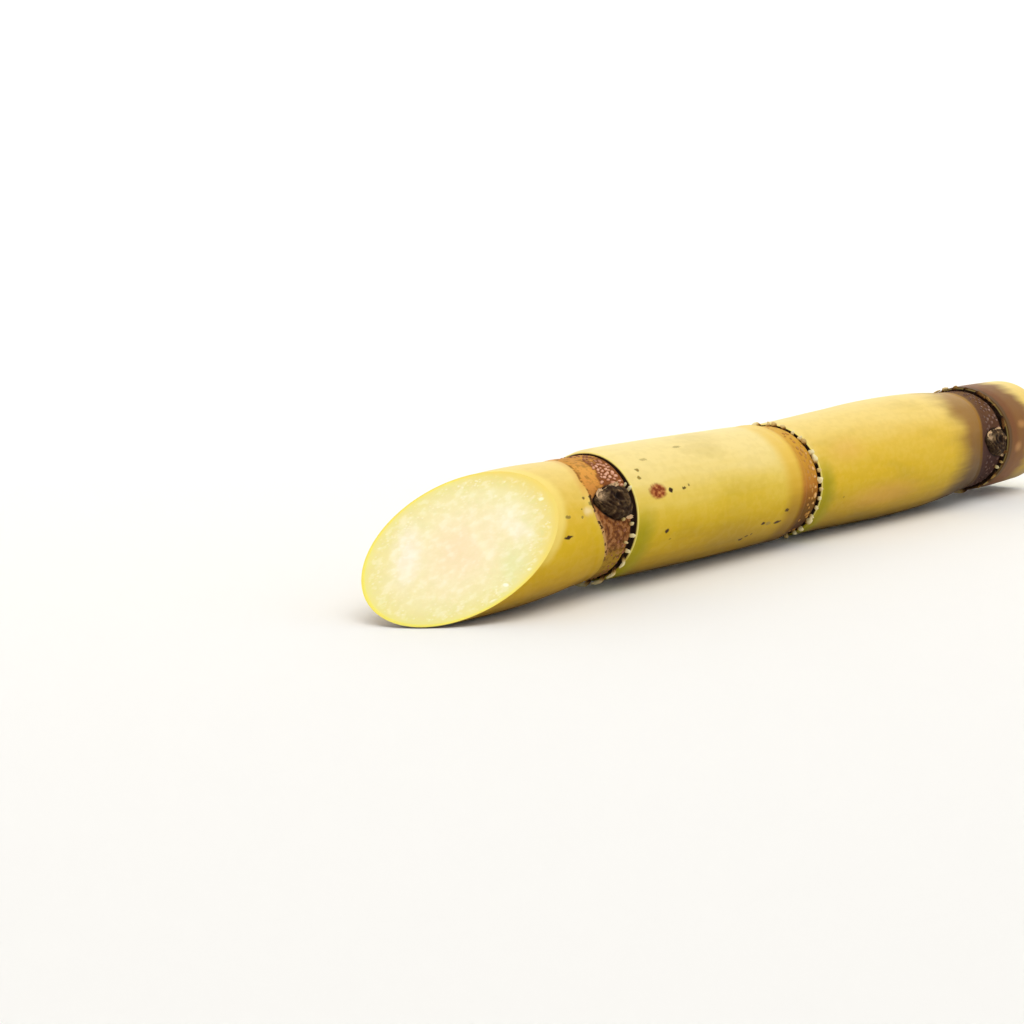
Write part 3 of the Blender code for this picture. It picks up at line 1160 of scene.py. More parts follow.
@dataclass(frozen=True)
class CaneFlesh(Finish):
    """Freshly cut cane flesh: pale, juicy and slightly translucent, with fibre ends dense near the rind.

    The knife left it smooth and wet. Its edge is the cut rind, a thin bright yellow line. rind_mm says how
    far in from the rim the rind ends and how far in all is flesh, and heart_mm how deep across reaches.
    """

    name: str = "fresh_cut_cane_flesh"
    roughness: float = 0.42
    specular: float = 0.3
    subsurface: float = 0.15
    across: Stops = (
        (0.0, "#eedc58"),
        (0.026, "#f3e66a"),
        (0.04, "#ebe28c"),
        (0.12, "#ebe198"),
        (0.26, "#efe5ab"),
        (0.6, "#f4e7bb"),
        (1.0, "#f6e3ba"),
    )
    patches: tuple[Patch, ...] = (
        Patch(8.3, 15.8, 20.0, 6.0, 69.0, "#fbf0dc", 0.9),
        Patch(-1.0, 16.5, 17.0, 10.0, 50.0, "#f7dcb4", 0.45),
        Patch(-4.6, 18.1, 15.0, 1.8, 48.0, "#fbf3cc", 0.4),
        Patch(-6.0, 25.0, 9.0, 6.0, 50.0, "#faf4dc", 0.5),
        Patch(-9.9, 21.6, 8.0, 5.0, 40.0, "#fbf4e2", 0.6),
        Patch(-12.0, 14.0, 13.0, 6.0, 62.0, "#e2e4a4", 0.6),
        # The last four patches are painted highlights: glints on juice droplets.
        Patch(-12.5, 9.3, 1.4, 0.8, 20.0, "#fffff0", 0.85, 0.5),
        Patch(-11.8, 5.8, 1.6, 0.8, -30.0, "#fffff0", 0.85, 0.5),
        Patch(-15.4, 12.8, 1.0, 0.7, 0.0, "#ffffe0", 0.8, 0.5),
        Patch(-10.9, 28.7, 1.1, 0.9, 0.0, "#ffffe0", 0.75, 0.5),
    )
    # Fibre ends are 0.2 to 0.4 mm wide. They are drawn a little coarser, 0.75 mm apart, so that they show.
    fibre_mm: float = 0.75
    rind_mm: tuple[float, float] = (0.9, 1.6)
    heart_mm: float = 17.0
    skinward: tuple[float, float, float] = (0.0, -0.719, 0.695)
    thin_side: tuple[float, float] = (15.0, 27.0)

    def dress(self, tree: Tree, shader: Node, mm: Socket) -> None:
        """Adds the flesh's colours from rim to heart, its tints, fibre ends and faint knife marks.

        Args:
            tree: The node tree.
            shader: The Principled BSDF.
            mm: The place on the piece in millimetres.
        """
        rim = self.value(tree, "rim")
        cloud = self.stretched(tree, mm, (9.0, 6.0, 6.0), 3.0)
        share = add_node(tree, "ShaderNodeMapRange", {0: rim, 2: self.heart_mm}).outputs[0]
        wander = add_node(tree, "ShaderNodeMapRange", {0: cloud, 3: -0.14, 4: 0.14}).outputs[0]
        inner = add_node(tree, "ShaderNodeMapRange", {0: share, 1: 0.08, 2: 0.3}).outputs[0]
        sway = {0: wander, 1: inner, 2: share}
        drift = add_node(tree, "ShaderNodeMath", sway, operation="MULTIPLY_ADD").outputs[0]
        flesh = set_stops(add_node(tree, "ShaderNodeValToRGB", {0: drift}), self.across)
        depths = {0: rim, 1: self.rind_mm[0], 2: self.rind_mm[1]}
        past_rind = add_node(tree, "ShaderNodeMapRange", depths).outputs[0]

        # Towards its upper end the cut runs out under the rind, whose gold shines through the thin flesh.
        reach = add_node(tree, "ShaderNodeVectorMath", {0: mm, 1: self.skinward}, operation="DOT_PRODUCT")
        ends = {0: reach.outputs["Value"], 1: self.thin_side[0], 2: self.thin_side[1], 4: 0.85}
        thin = add_node(tree, "ShaderNodeMapRange", ends, interpolation_type="SMOOTHSTEP").outputs[0]
        edge = add_node(tree, "ShaderNodeMapRange", {0: rim, 1: 4.5, 2: 0.5}).outputs[0]
        flesh = paint(tree, flesh, [(times(tree, thin, edge), "#ecd36c")])

        # Fibres run along the stalk, so a pattern that ignores X cuts to round dots on a square cut and to
        # short dashes on a slanting one.
        no_x = (0.0, 1.0, 1.0)
        across = add_node(tree, "ShaderNodeVectorMath", {0: mm, 1: no_x}, operation="MULTIPLY").outputs[0]
        shaken = self.stretched(tree, mm, (3.0, 3.0, 3.0), 2.0)
        jitter = add_node(tree, "ShaderNodeMapRange", {0: shaken, 3: -2.0, 4: 2.0}).outputs[0]
        loose = add_node(tree, "ShaderNodeVectorMath", {0: across, 1: jitter}, operation="ADD").outputs[0]
        only_yz = add_node(tree, "ShaderNodeVectorMath", {0: loose, 1: no_x}, operation="MULTIPLY").outputs[0]
        layers = []
        for patch in self.patches:
            half = (1.0, 0.5 * patch.length, 0.5 * patch.width)
            middle, turn = (0.0, patch.y, patch.z), (patch.turn_deg, 0.0, 0.0)
            place = only_yz if patch.core < 0.5 else across
            cover = oval(tree, place, middle, turn, half, patch.core, patch.strength)
            layers.append((times(tree, cover, past_rind), patch.colour))
        dapple = self.stretched(tree, across, (1.9, 1.9, 1.9), 3.0)
        wetter = times(tree, window(tree, dapple, 0.0, 0.34, 0.2), past_rind, 0.22)
        drier = times(tree, window(tree, dapple, 0.68, 1.0, 0.2), past_rind, 0.3)
        flesh = paint(tree, flesh, [*layers, (wetter, "#e6d9a0"), (drier, "#fffbe8")])
        cells = {"Vector": across, "Scale": 1.0 / self.fibre_mm}
        cell = add_node(tree, "ShaderNodeTexVoronoi", cells).outputs["Distance"]
        dot = add_node(tree, "ShaderNodeMapRange", {0: cell, 1: 0.36, 2: 0.14}).outputs[0]
        outer = add_node(tree, "ShaderNodeMapRange", {0: share, 1: 0.8, 2: 0.05, 3: 0.08, 4: 0.5}).outputs[0]
        patchy = add_node(tree, "ShaderNodeMapRange", {0: shaken, 1: 0.4, 2: 0.62}).outputs[0]
        fibres = times(tree, dot, outer, past_rind, patchy)
        between = add_node(tree, "ShaderNodeMapRange", {0: cell, 1: 0.45, 2: 0.8}).outputs[0]
        gaps = times(tree, between, outer, past_rind, patchy, 0.5)
        flesh = paint(tree, flesh, [(gaps, "#dcdc8c"), (fibres, "#fffce6")])
        tree.links.new(flesh, shader.inputs["Base Color"])
        wet = add_node(tree, "ShaderNodeMapRange", {0: cloud, 3: 0.3, 4: 0.52}).outputs[0]
        tree.links.new(wet, shader.inputs["Roughness"])
        self.relief(tree, shader, ((fibres, 0.3, 0.3), (shaken, 0.15, 0.5)))


@dataclass(frozen=True)
class DriedLeafBase(Finish):
    """Dried leaf base: torn plant fibre, matt and papery, near black at its root partly as painted shade,
    bleached at its tips.
    """

    name: str = "dried_leaf_base_fibre"
    roughness: float = 0.85
    specular: float = 0.15
    root_to_tip: Stops = (
        (0.0, "#140a06"),
        (0.25, "#2a170c"),
        (0.42, "#6a4520"),
        (0.58, "#b58f4e"),
        (0.78, "#dcc485"),
        (1.0, "#efe2b0"),
    )

    def dress(self, tree: Tree, shader: Node, mm: Socket) -> None:
        """Adds the fibre's colours from root to tip, and its grain.

        Args:
            tree: The node tree.
            shader: The Principled BSDF.
            mm: The place on the piece in millimetres.
        """
        grain = self.stretched(tree, mm, (0.9, 0.35, 0.35), 3.0)
        wander = add_node(tree, "ShaderNodeMapRange", {0: grain, 3: -0.15, 4: 0.15}).outputs[0]
        drift = moved(tree, self.value(tree, "tip"), wander, 1.0)
        colour = set_stops(add_node(tree, "ShaderNodeValToRGB", {0: drift}), self.root_to_tip)
        tree.links.new(colour, shader.inputs["Base Color"])
        self.relief(tree, shader, ((grain, 0.5, 0.3),))


@dataclass(frozen=True)
class RootDot(Finish):
    """Root dots: waxy swellings that roots would grow from, lighter at the crown than round the foot."""

    name: str = "root_dot_skin"
    roughness: float = 0.55
    specular: float = 0.3
    foot_to_crown: Stops = ((0.0, "#7c4828"), (0.5, "#bd7e58"), (1.0, "#ecb698"))

    def dress(self, tree: Tree, shader: Node, mm: Socket) -> None:
        """Adds the colours from foot to crown, with some dots paler than others.

        Args:
            tree: The node tree.
            shader: The Principled BSDF.
            mm: The place on the piece in millimetres.
        """
        cover = times(tree, self.value(tree, "tip"), self.value(tree, "tone"))
        colour = set_stops(add_node(tree, "ShaderNodeValToRGB", {0: cover}), self.foot_to_crown)
        tree.links.new(colour, shader.inputs["Base Color"])
        self.relief(tree, shader, ((self.stretched(tree, mm, (0.5, 0.5, 0.5), 2.0), 0.3, 0.2),))


@dataclass(frozen=True)
class BudScale(Finish):
    """Bud scale: dead, leathery leaf tissue, grey-brown, faintly shiny, pale at its torn margins."""

    name: str = "bud_scale_leather"
    roughness: float = 0.75
    specular: float = 0.12
    # The darkest stops fill the sunken eye and the wrinkles' hollows as painted shade.
    body: Stops = (
        (0.0, "#140803"),
        (0.3, "#2a170a"),
        (0.52, "#40301c"),
        (0.74, "#5e482e"),
        (0.9, "#8c6c4a"),
        (1.0, "#b08a64"),
    )
    margin: str = "#dcb98e"

    def dress(self, tree: Tree, shader: Node, mm: Socket) -> None:
        """Adds the scale's colours with painted shade in folds and eye, painted highlight on ridges, and its
        pale margins.

        Args:
            tree: The node tree.
            shader: The Principled BSDF.
            mm: The place on the piece in millimetres.
        """
        grain = self.stretched(tree, mm, (1.0, 0.7, 0.7), 4.0)
        wander = add_node(tree, "ShaderNodeMapRange", {0: grain, 3: -0.5, 4: 0.5}).outputs[0]
        drift = moved(tree, self.value(tree, "tip"), wander, 1.0)
        body = set_stops(add_node(tree, "ShaderNodeValToRGB", {0: drift}), self.body)
        worn = add_node(tree, "ShaderNodeMapRange", {0: grain, 1: 0.3, 2: 0.5}).outputs[0]
        colour = paint(tree, body, [(times(tree, self.value(tree, "pale"), worn), self.margin)])
        tree.links.new(colour, shader.inputs["Base Color"])
        self.relief(tree, shader, ((grain, 0.5, 0.3),))


@dataclass(frozen=True)
class MattPaper(Finish):
    """Studio backdrop paper: plain, pale and matt."""

    name: str = "backdrop_paper"
    roughness: float = 0.95
    specular: float = 0.1
    colour: str = "#f5f5f4"

    def dress(self, tree: Tree, shader: Node, mm: Socket) -> None:
        """Sets the paper's one colour."""
        shader.inputs["Base Color"].default_value = linear(self.colour)


class Shells:
    """Separate closed shells that together make one piece, with the numbers that its finish reads."""

    def __init__(self) -> None:
        """Starts with no shell."""
        self.points: list[Points] = []
        self.faces: list[list[int]] = []
        self.numbers: dict[str, list[Points]] = {}

    def add(self, points: Points, faces: Iterable[Sequence[int]], **numbers: Points) -> None:
        """Adds one shell.

        Args:
            points: Its corners.
            faces: The corners of each face, counted from the shell's own first one.
            **numbers: What the finish reads, as one value for each corner.
        """
        first = sum(len(part) for part in self.points)
        self.faces += [[first + corner for corner in face] for face in faces]
        self.points.append(points)
        for name, values in numbers.items():
            self.numbers.setdefault(name, []).append(values)

    def build(self, name: str, finish: Finish, sharp_deg: float) -> bpy.types.Object:
        """Makes the piece of all its shells.

        Args:
            name: The piece's name.
            finish: Its finish.
            sharp_deg: Edges that bend more than this stay sharp.

        Returns:
            The object.
        """
        made = piece(name, np.concatenate(self.points), self.faces, sharp_deg)
        for number, values in self.numbers.items():
            mark(made, number, np.concatenate(values))
        made.data.materials.append(finish.material())
        return made


@dataclass(frozen=True)
class BudOutline:
    """The outline of every bud on its root band, shared by the bud itself and the painted shadow round it."""

    base: float = -2.0
    tip: float = -9.7
    half_width_deg: float = 15.0
    lean_deg: float = -7.0

    def middle(self, share: Points) -> Points:
        """How far the bud's middle has turned from its angle, from base, 0, to tip, 1."""
        return self.lean_deg * np.clip(share, 0.0, 1.0) ** 1.5

    def half_width(self, share: Points) -> Points:
        """Half the bud's width in degrees, from base, 0, to tip, 1."""
        full = np.sin(math.pi * (0.24 + 0.76 * np.clip(share, 0.0, 1.0))).clip(0.0) ** 0.8
        return self.half_width_deg * (0.06 + 0.94 * full)

    def bud_shadow(self, node: NodeShape, offset: Points, angle: Points) -> Points:
        """How near each place on the band lies to the bud, from 0 well outside to 1 beneath: its painted
        shadow.

        Args:
            node: The node.
            offset: Distances from its leaf scar.
            angle: Angles round the stalk.

        Returns:
            The nearness of each.
        """
        share = (offset - self.base) / (self.tip - self.base)
        side = np.abs(turned(angle, node.bud_angle) - self.middle(share)) - self.half_width(share)
        outside = np.maximum(side * math.radians(node.band), 0.0)
        past_tip = np.maximum(self.tip - offset, 0.0)
        past_base = np.maximum(offset - self.base - 1.0, 0.0) * 3.0
        return np.clip(1.0 - np.sqrt(outside**2 + past_tip**2 + past_base**2) / 1.1, 0.0, 1.0)


BUD_OUTLINE = BudOutline()


@dataclass
class Cane:
    """The stalk itself, from the slanting cut to the root end, in place of the plain solid."""

    sides: int = 256
    cut_rows: int = 26
    shaft_step: float = 2.0
    coarse_step: float = 0.5
    fine_step: float = 0.15
    fine_from: float = -3.0
    fine_to: float = 1.0
    face_rims: tuple[float, ...] = (0.12, 0.3, 0.55, 0.9, 1.4, 2.0, 3.0, 4.2, 5.6, 7.2, 9.0, 11.0, 13.0, 15.0)
    band_edges: tuple[tuple[tuple[float, float], ...], ...] = (
        (
            (-180.0, -8.5),
            (-60.0, -10.0),
            (10.0, -13.4),
            (38.0, -13.0),
            (50.0, -11.0),
            (88.0, -9.2),
            (180.0, -8.5),
        ),
        ((-180.0, -9.0), (30.0, -9.5), (70.0, -11.0), (120.0, -11.5), (180.0, -9.0)),
        ((-180.0, -9.5), (90.0, -11.0), (180.0, -9.5)),
    )
    band_soft: tuple[float, float, float] = (0.8, 3.2, 2.2)
    edge_shade: float = 0.3
    lip_shade: float = 0.15
    skin_lump: float = 0.1
    skin_lump_size: float = 14.0
    near_reach: float = 9.0
    scar_shift: float = 4.0
    heart_rim: float = 17.0
    far_offset: float = 50.0

    def build(self) -> bpy.types.Object:
        """Builds the stalk's mesh and gives it its finishes."""
        step = 360.0 / self.sides
        angles = -180.0 + (np.arange(self.sides) + 0.5) * step
        rows: list[Points] = []
        stations: list[Points] = []
        self.add_cut_shaft(rows, stations, angles)
        for index in range(len(STEM.nodes)):
            self.add_node_rows(rows, stations, angles, index)
            start, end = STEM.shaft_ends(index + 1)
            count = max(2, round((end - start) / self.shaft_step))
            for station in np.linspace(start, end, count + 1)[1:]:
                radius = STEM.shaft_radius(index + 1, np.full(self.sides, station))
                rows.append(STEM.skin(station, radius, angles))
                stations.append(np.full(self.sides, station))
        skin = self.roughened(np.array(rows), angles)
        upper_face = self.face(skin[0], STEM.heart_at(np.array([STEM.cut_middle_x]))[0])
        lower_face = self.face(skin[-1], STEM.heart_at(np.array([STEM.heart[-1][0]]))[0])
        return self.assemble(skin, np.array(stations), angles, upper_face[::-1], lower_face)

    def add_cut_shaft(self, rows: list[Points], stations: list[Points], angles: Points) -> None:
        """Adds the rows from the slanting cut to the first node.

        Args:
            rows: The skin's rows of points so far, which grow.
            stations: The station of each point so far, which grows.
            angles: The angle of each column.
        """
        first = STEM.shaft_ends(0)[1]
        cut = STEM.cut_x(angles)
        end = first + STEM.slant(0, np.full(self.sides, STEM.ring_start), angles)
        for share in np.arange(self.cut_rows) / self.cut_rows:
            station = cut + (first - cut) * share
            rows.append(STEM.around(cut + (end - cut) * share, STEM.shaft_radius(0, station), angles))
            stations.append(station)

    def add_node_rows(self, rows: list[Points], stations: list[Points], angles: Points, index: int) -> None:
        """Adds the rows across one node, close together at its crevice and lip.

        Args:
            rows: The skin's rows of points so far, which grow.
            stations: The station of each point so far, which grows.
            angles: The angle of each column.
            index: Which node.
        """
        above = np.arange(STEM.ring_start, self.fine_from, self.coarse_step)
        across = np.arange(self.fine_from, self.fine_to, self.fine_step)
        below = np.arange(self.fine_to, STEM.shaft_start + 0.1, self.coarse_step)
        for offset in np.concatenate([above, across, below]):
            radius = STEM.node_radius(index, np.full(self.sides, offset), angles)
            station = STEM.nodes[index].x + offset
            rows.append(STEM.skin(station, radius, angles))
            stations.append(np.full(self.sides, station))

    def roughened(self, skin: Points, angles: Points) -> Points:
        """The skin with low, wide lumps, which leave the flat spots beneath and both ends as they are.

        Args:
            skin: The skin's rows of points.
            angles: The angle of each column.

        Returns:
            The moved points.
        """
        turn = np.radians(angles)
        out = np.stack([np.zeros_like(turn), -np.sin(turn), np.cos(turn)], axis=-1)
        low = np.clip(skin[..., 2] / 2.0, 0.0, 1.0)
        amount = self.skin_lump * lumps(skin, self.skin_lump_size, 4.0) * low
        amount[0] = amount[-1] = 0.0
        return skin + out[None] * amount[..., None]

    def face(self, rim: Points, middle: Points) -> Points:
        """Rings of a cut face, from the rim to near the heart.

        Args:
            rim: The last ring of the skin.
            middle: The heart on the cut.

        Returns:
            The rings, each with its distance from the rim in face_rims.
        """
        reach = np.linalg.norm((rim - middle)[:, 1:], axis=1)
        return np.array([rim + (middle - rim) * (inset / reach)[:, None] for inset in self.face_rims])

    def assemble(
        self, skin: Points, station: Points, angles: Points, upper_face: Points, lower_face: Points
    ) -> bpy.types.Object:
        """Joins skin and cut faces in one closed mesh.

        Args:
            skin: Rows of points of the skin.
            station: The station of each.
            angles: The angle of each column.
            upper_face: Rings of the slanting cut, from the heart out.
            lower_face: Rings of the square cut, from the rim in.

        Returns:
            The object.
        """
        rings = np.concatenate([upper_face, skin, lower_face])
        count, sides = rings.shape[:2]
        ends = np.array([upper_face[0].mean(axis=0), lower_face[-1].mean(axis=0)])
        row, side = np.meshgrid(np.arange(count - 1), np.arange(sides), indexing="ij")
        after = (side + 1) % sides
        here, beyond = row * sides, (row + 1) * sides
        quads = np.stack([here + side, here + after, beyond + after, beyond + side])
        faces = quads.reshape(4, -1).T.tolist()
        first, last, tail = count * sides, count * sides + 1, (count - 1) * sides
        faces += [[first, (i + 1) % sides, i] for i in range(sides)]
        faces += [[last, tail + i, tail + (i + 1) % sides] for i in range(sides)]
        made = piece("cane", np.concatenate([rings.reshape(-1, 3), ends]), faces)

        repeated = [np.repeat(station[:1], len(upper_face), axis=0), station]
        full = np.concatenate([*repeated, np.repeat(station[-1:], len(lower_face), axis=0)])
        self.mark_points(made, full, angles)
        self.mark_places(made, full, angles)
        insets = np.array(self.face_rims)
        of_rings = np.concatenate([insets[::-1], np.zeros(len(skin)), insets])
        mark(made, "rim", np.concatenate([np.repeat(of_rings, sides), [self.heart_rim, self.heart_rim]]))
        quad_rows = np.repeat(np.arange(count - 1), sides)
        on_face = (quad_rows < len(upper_face)) | (quad_rows >= len(upper_face) + skin.shape[0] - 1)
        slots = np.concatenate([on_face, np.ones(2 * sides, dtype=bool)]).astype(np.int32)
        for finish in (CaneRind(), CaneFlesh()):
            made.data.materials.append(finish.material())
        made.data.polygons.foreach_set("material_index", slots)
        return made

    def nearest(self, station: Points) -> Points:
        """The number of the node nearest to each station."""
        scars = np.array([node.x for node in STEM.nodes])
        return np.argmin(np.abs(station[..., None] - scars + self.scar_shift), axis=-1)

    def mark_points(self, made: bpy.types.Object, station: Points, angles: Points) -> None:
        """Stores what the rind reads per point: height, nearness of each node, band, painted crevice shade,
        bud shadow.

        Args:
            made: The stalk.
            station: The station of each point in rings.
            angles: The angle of each column.
        """
        angle = np.broadcast_to(angles, station.shape)
        edge, depth, bud_shadow = np.full(station.shape, -20.0), np.zeros(station.shape), np.zeros(station.shape)
        near = []
        for index, node in enumerate(STEM.nodes):
            offset = station - node.x
            mine = (offset > -30.0) & (offset < STEM.shaft_start)
            table = np.array(self.band_edges[index])
            left = np.interp(angle, table[:, 0], table[:, 1])
            edge = np.where(mine, np.clip((offset - left) / self.band_soft[index], -20.0, 20.0), edge)
            # depth is the painted crevice shade: whole across the crevice and up its lip wall, gone just past
            # the lip.
            from_left = np.clip((offset + STEM.gap(index, angle)) / self.edge_shade, 0.0, 1.0)
            depth = np.where(mine, from_left * np.clip(1.0 - offset / self.lip_shade, 0.0, 1.0), depth)
            # The painted shadow round each bud, whole beneath its outline and gone just outside it.
            bud_shadow = np.where(mine, BUD_OUTLINE.bud_shadow(node, offset, angle), bud_shadow)
            near.append(np.clip(1.0 - (np.abs(offset + self.scar_shift) - self.near_reach) / 4.0, 0.0, 1.0))
        fields = {"fall": np.abs(angle) / 180.0, "edge": edge, "depth": depth, "painted_bud_shadow": bud_shadow}
        for name, values in fields.items():
            mark(made, name, np.concatenate([values.ravel(), [0.0, 0.0]]))
        mark(made, "near_node", np.concatenate([np.stack(near, axis=-1).reshape(-1, 3), np.zeros((2, 3))]))

    def mark_places(self, made: bpy.types.Object, station: Points, angles: Points) -> None:
        """Stores station, millimetres round the stalk and distance from the nearest scar at each face corner.

        Corners keep the first two from jumping beneath the stalk, and the third from jumping between scars.

        Args:
            made: The stalk.
            station: The station of each point in rings.
            angles: The angle of each column.
        """
        sides = station.shape[1]
        arc = CaneRind().mm_per_degree
        step = 360.0 / sides
        here = np.broadcast_to(angles, station.shape)
        following = np.broadcast_to(angles + step, station.shape)
        wrapped = np.roll(station, -1, axis=1)
        corner_station = np.stack([station[:-1], wrapped[:-1], wrapped[1:], station[1:]], axis=-1)
        corner_angle = np.stack([here[:-1], following[:-1], following[1:], here[1:]], axis=-1)
        scars = np.array([node.x for node in STEM.nodes])
        own_scar = scars[self.nearest(corner_station.mean(axis=-1))][..., None]
        quads = np.stack([corner_station, corner_angle * arc, corner_station - own_scar], axis=-1)
        fans = np.zeros((2 * sides * 3, 3))
        fans[: sides * 3, 0], fans[sides * 3 :, 0] = station[0, 0], station[-1, 0]
        fans[:, 2] = self.far_offset
        mark(made, "place", np.concatenate([quads.reshape(-1, 3), fans]), "CORNER")


@dataclass(frozen=True)
class Fringe:
    """The torn fibres of one leaf base, in millimetres.

    Each strand is length long and width wide, rises by rise over the lip, and lies by lay of its length
    along the scar. phase turns the whole ring. worn holds the angles between which the strands are broken
    off, and beads the angle, offset, size and tone of single crumbs that are left. sizes, tones and lays
    hold the limits between which the strands differ.
    """

    strands: int
    length: float
    width: float
    lay: float
    rise: float
    phase: float
    paleness: float
    worn: tuple[float, float]
    beads: tuple[tuple[float, float, float, float], ...] = ()
    sizes: tuple[float, float] = (0.72, 1.15)
    tones: tuple[float, float] = (0.72, 1.1)
    lays: tuple[float, float] = (0.8, 1.25)


@dataclass
class LeafCollar:
    """What is left of a dried leaf base at one node: a ring in the crevice, dark partly as painted shade, with
    torn tan strands.
    """

    index: int
    fringe: Fringe
    ring_sides: int = 240
    strand_sides: int = 10
    strand_rings: int = 11
    inset: float = 0.05
    ring_drop: float = 0.75
    # The ring's near-black tone is partly painted shade in the crevice.
    ring_tone: float = 0.08
    thickness: float = 0.8
    angle_jitter: float = 0.13
    root_offset: float = -0.75
    root_jitter: float = 0.2
    bead_lay: float = -0.2
    pale_from: float = 0.45

    def build(self) -> bpy.types.Object:
        """Builds the collar and gives it its finish."""
        node, fringe = STEM.nodes[self.index], self.fringe
        draw = random.Random(20 + self.index)
        shells = Shells()
        ring, faces = self.ring(node, draw)
        shells.add(ring, faces, tip=np.full(len(ring), self.ring_tone))
        for count in range(fringe.strands):
            jitter = draw.uniform(-self.angle_jitter, self.angle_jitter)
            angle = fringe.phase + (count + jitter) * 360.0 / fringe.strands
            size, tone = draw.uniform(*fringe.sizes), draw.uniform(*fringe.tones)
            offset = draw.uniform(-self.root_jitter, self.root_jitter) + self.root_offset
            if (angle - fringe.worn[0]) % 360.0 <= (fringe.worn[1] - fringe.worn[0]) % 360.0:
                continue
            lay = fringe.lay * draw.uniform(*fringe.lays)
            self.add_strand(shells, self.strand(node, angle, offset, size, lay, draw), tone)
        for angle, offset, size, tone in fringe.beads:
            self.add_strand(shells, self.strand(node, angle, offset, size, self.bead_lay, draw), tone)
        return shells.build(f"leaf_collar_detail_{self.index + 1}", DriedLeafBase(), 60.0)

    def add_strand(self, shells: Shells, corners: Points, tone: float) -> None:
        """Adds one strand, dark at its root in the crevice partly as painted shade, and as pale as its tone at
        its tip.

        Args:
            shells: The collar's shells so far.
            corners: The strand's corners.
            tone: How pale its tip is.
        """
        share = np.linspace(0.0, 1.0, self.strand_rings)
        pale = 0.15 + 0.85 * np.clip(share / self.pale_from, 0.0, 1.0) ** 1.5
        tips = np.repeat(pale * tone * self.fringe.paleness, self.strand_sides)
        shells.add(corners, loft(self.strand_rings, self.strand_sides), tip=tips)

    def ring(self, node: NodeShape, draw: random.Random) -> tuple[Points, list[list[int]]]:
        """The rough ring in the crevice, near black partly as painted shade.

        Args:
            node: The node.
            draw: The random draw for its wavy top.

        Returns:
            Its corners and faces.
        """
        angles = np.arange(self.ring_sides) * 360.0 / self.ring_sides
        gap = STEM.gap(self.index, angles)
        right = np.full_like(gap, STEM.crevice_end - self.inset)
        left = np.minimum(-gap + STEM.crevice_wall + self.inset, right - 0.2)
        low = np.full_like(gap, node.band - STEM.crevice_depth - 0.2)
        wave = np.array([draw.uniform(-1.0, 1.0) for _ in angles])
        wave = (wave + np.roll(wave, 1)) / 2.0
        top = node.band - self.ring_drop + 0.35 * wave
        middle = 0.5 * (left + right)
        section = ((left, low), (right, low), (right, top), (middle, top + 0.2), (left, top))
        points = np.stack([STEM.skin(node.x + at, radius, angles) for at, radius in section], axis=1)
        sides = len(section)
        faces = []
        for i in range(self.ring_sides):
            here, following = i * sides, (i + 1) % self.ring_sides * sides
            for j in range(sides):
                after = (j + 1) % sides
                faces.append([here + j, here + after, following + after, following + j])
        return points.reshape(-1, 3), faces

    def strand(
        self, node: NodeShape, angle: float, offset: float, size: float, lay: float, draw: random.Random
    ) -> Points:
        """One strand, from its root in the crevice to its blunt tip.

        Args:
            node: The node.
            angle: Where it stands.
            offset: How far from the scar.
            size: Its size, 1 for a full one.
            lay: How far it lies along the scar, as a share of its length.
            draw: The random draw for its kinks.

        Returns:
            Its corners.
        """
        length, rise = self.fringe.length * size, self.fringe.rise * draw.uniform(0.8, 1.1)
        share = np.linspace(0.0, 1.0, self.strand_rings)
        along = offset - 0.3 * abs(lay) * length * share + draw.uniform(-0.25, 0.25) * share
        aside = np.degrees((lay * length * share + draw.uniform(-0.2, 0.2) * share) / node.lip)
        root, top = node.band - STEM.crevice_depth, node.lip + rise
        lift = root + (top - root) * np.sin(np.minimum(1.0, share * (1.0 + 1.2 * abs(lay))) * 0.5 * math.pi)
        heart = STEM.skin(node.x + along, lift, angle + aside)
        girth = np.sin(math.pi * np.clip(0.25 + 0.75 * share, 0.0, 0.97)) ** 0.4
        lumpy = np.array([draw.uniform(0.86, 1.1) for _ in share])
        width = 0.5 * self.fringe.width * size * girth * lumpy
        forward = np.gradient(heart, axis=0)
        forward /= np.linalg.norm(forward, axis=1)[:, None]
        x_axis = np.broadcast_to(np.array([1.0, 0.0, 0.0]), forward.shape)
        across = np.cross(forward, x_axis)
        across /= np.linalg.norm(across, axis=1)[:, None]
        up = np.cross(across, forward)
        spin = 2.0 * math.pi * np.arange(self.strand_sides) / self.strand_sides
        uneven = 1.0 + np.array([draw.uniform(-0.12, 0.12) for _ in spin])
        sideways, upwards = np.cos(spin) * uneven, np.sin(spin) * uneven * self.thickness
        reach = across[:, None] * sideways[None, :, None] + up[:, None] * upwards[None, :, None]
        points = (heart[:, None] + reach * width[:, None, None]).reshape(-1, 3)
        points[:, 2] = np.maximum(points[:, 2], 0.0)
        return points


@dataclass(frozen=True)
class DotRows:
    """The rows of root dots on one band, in millimetres.

    rows holds each row's offset and how much it stands out. bold holds the angles between which the dots
    stand out. Elsewhere they are fainter by quiet, and a share, thin, of them is missing.
    """

    rows: tuple[tuple[float, float], ...]
    around: int
    radius: float
    rise: float
    bold: tuple[float, float]
    quiet: float
    thin: float
    finish: RootDot


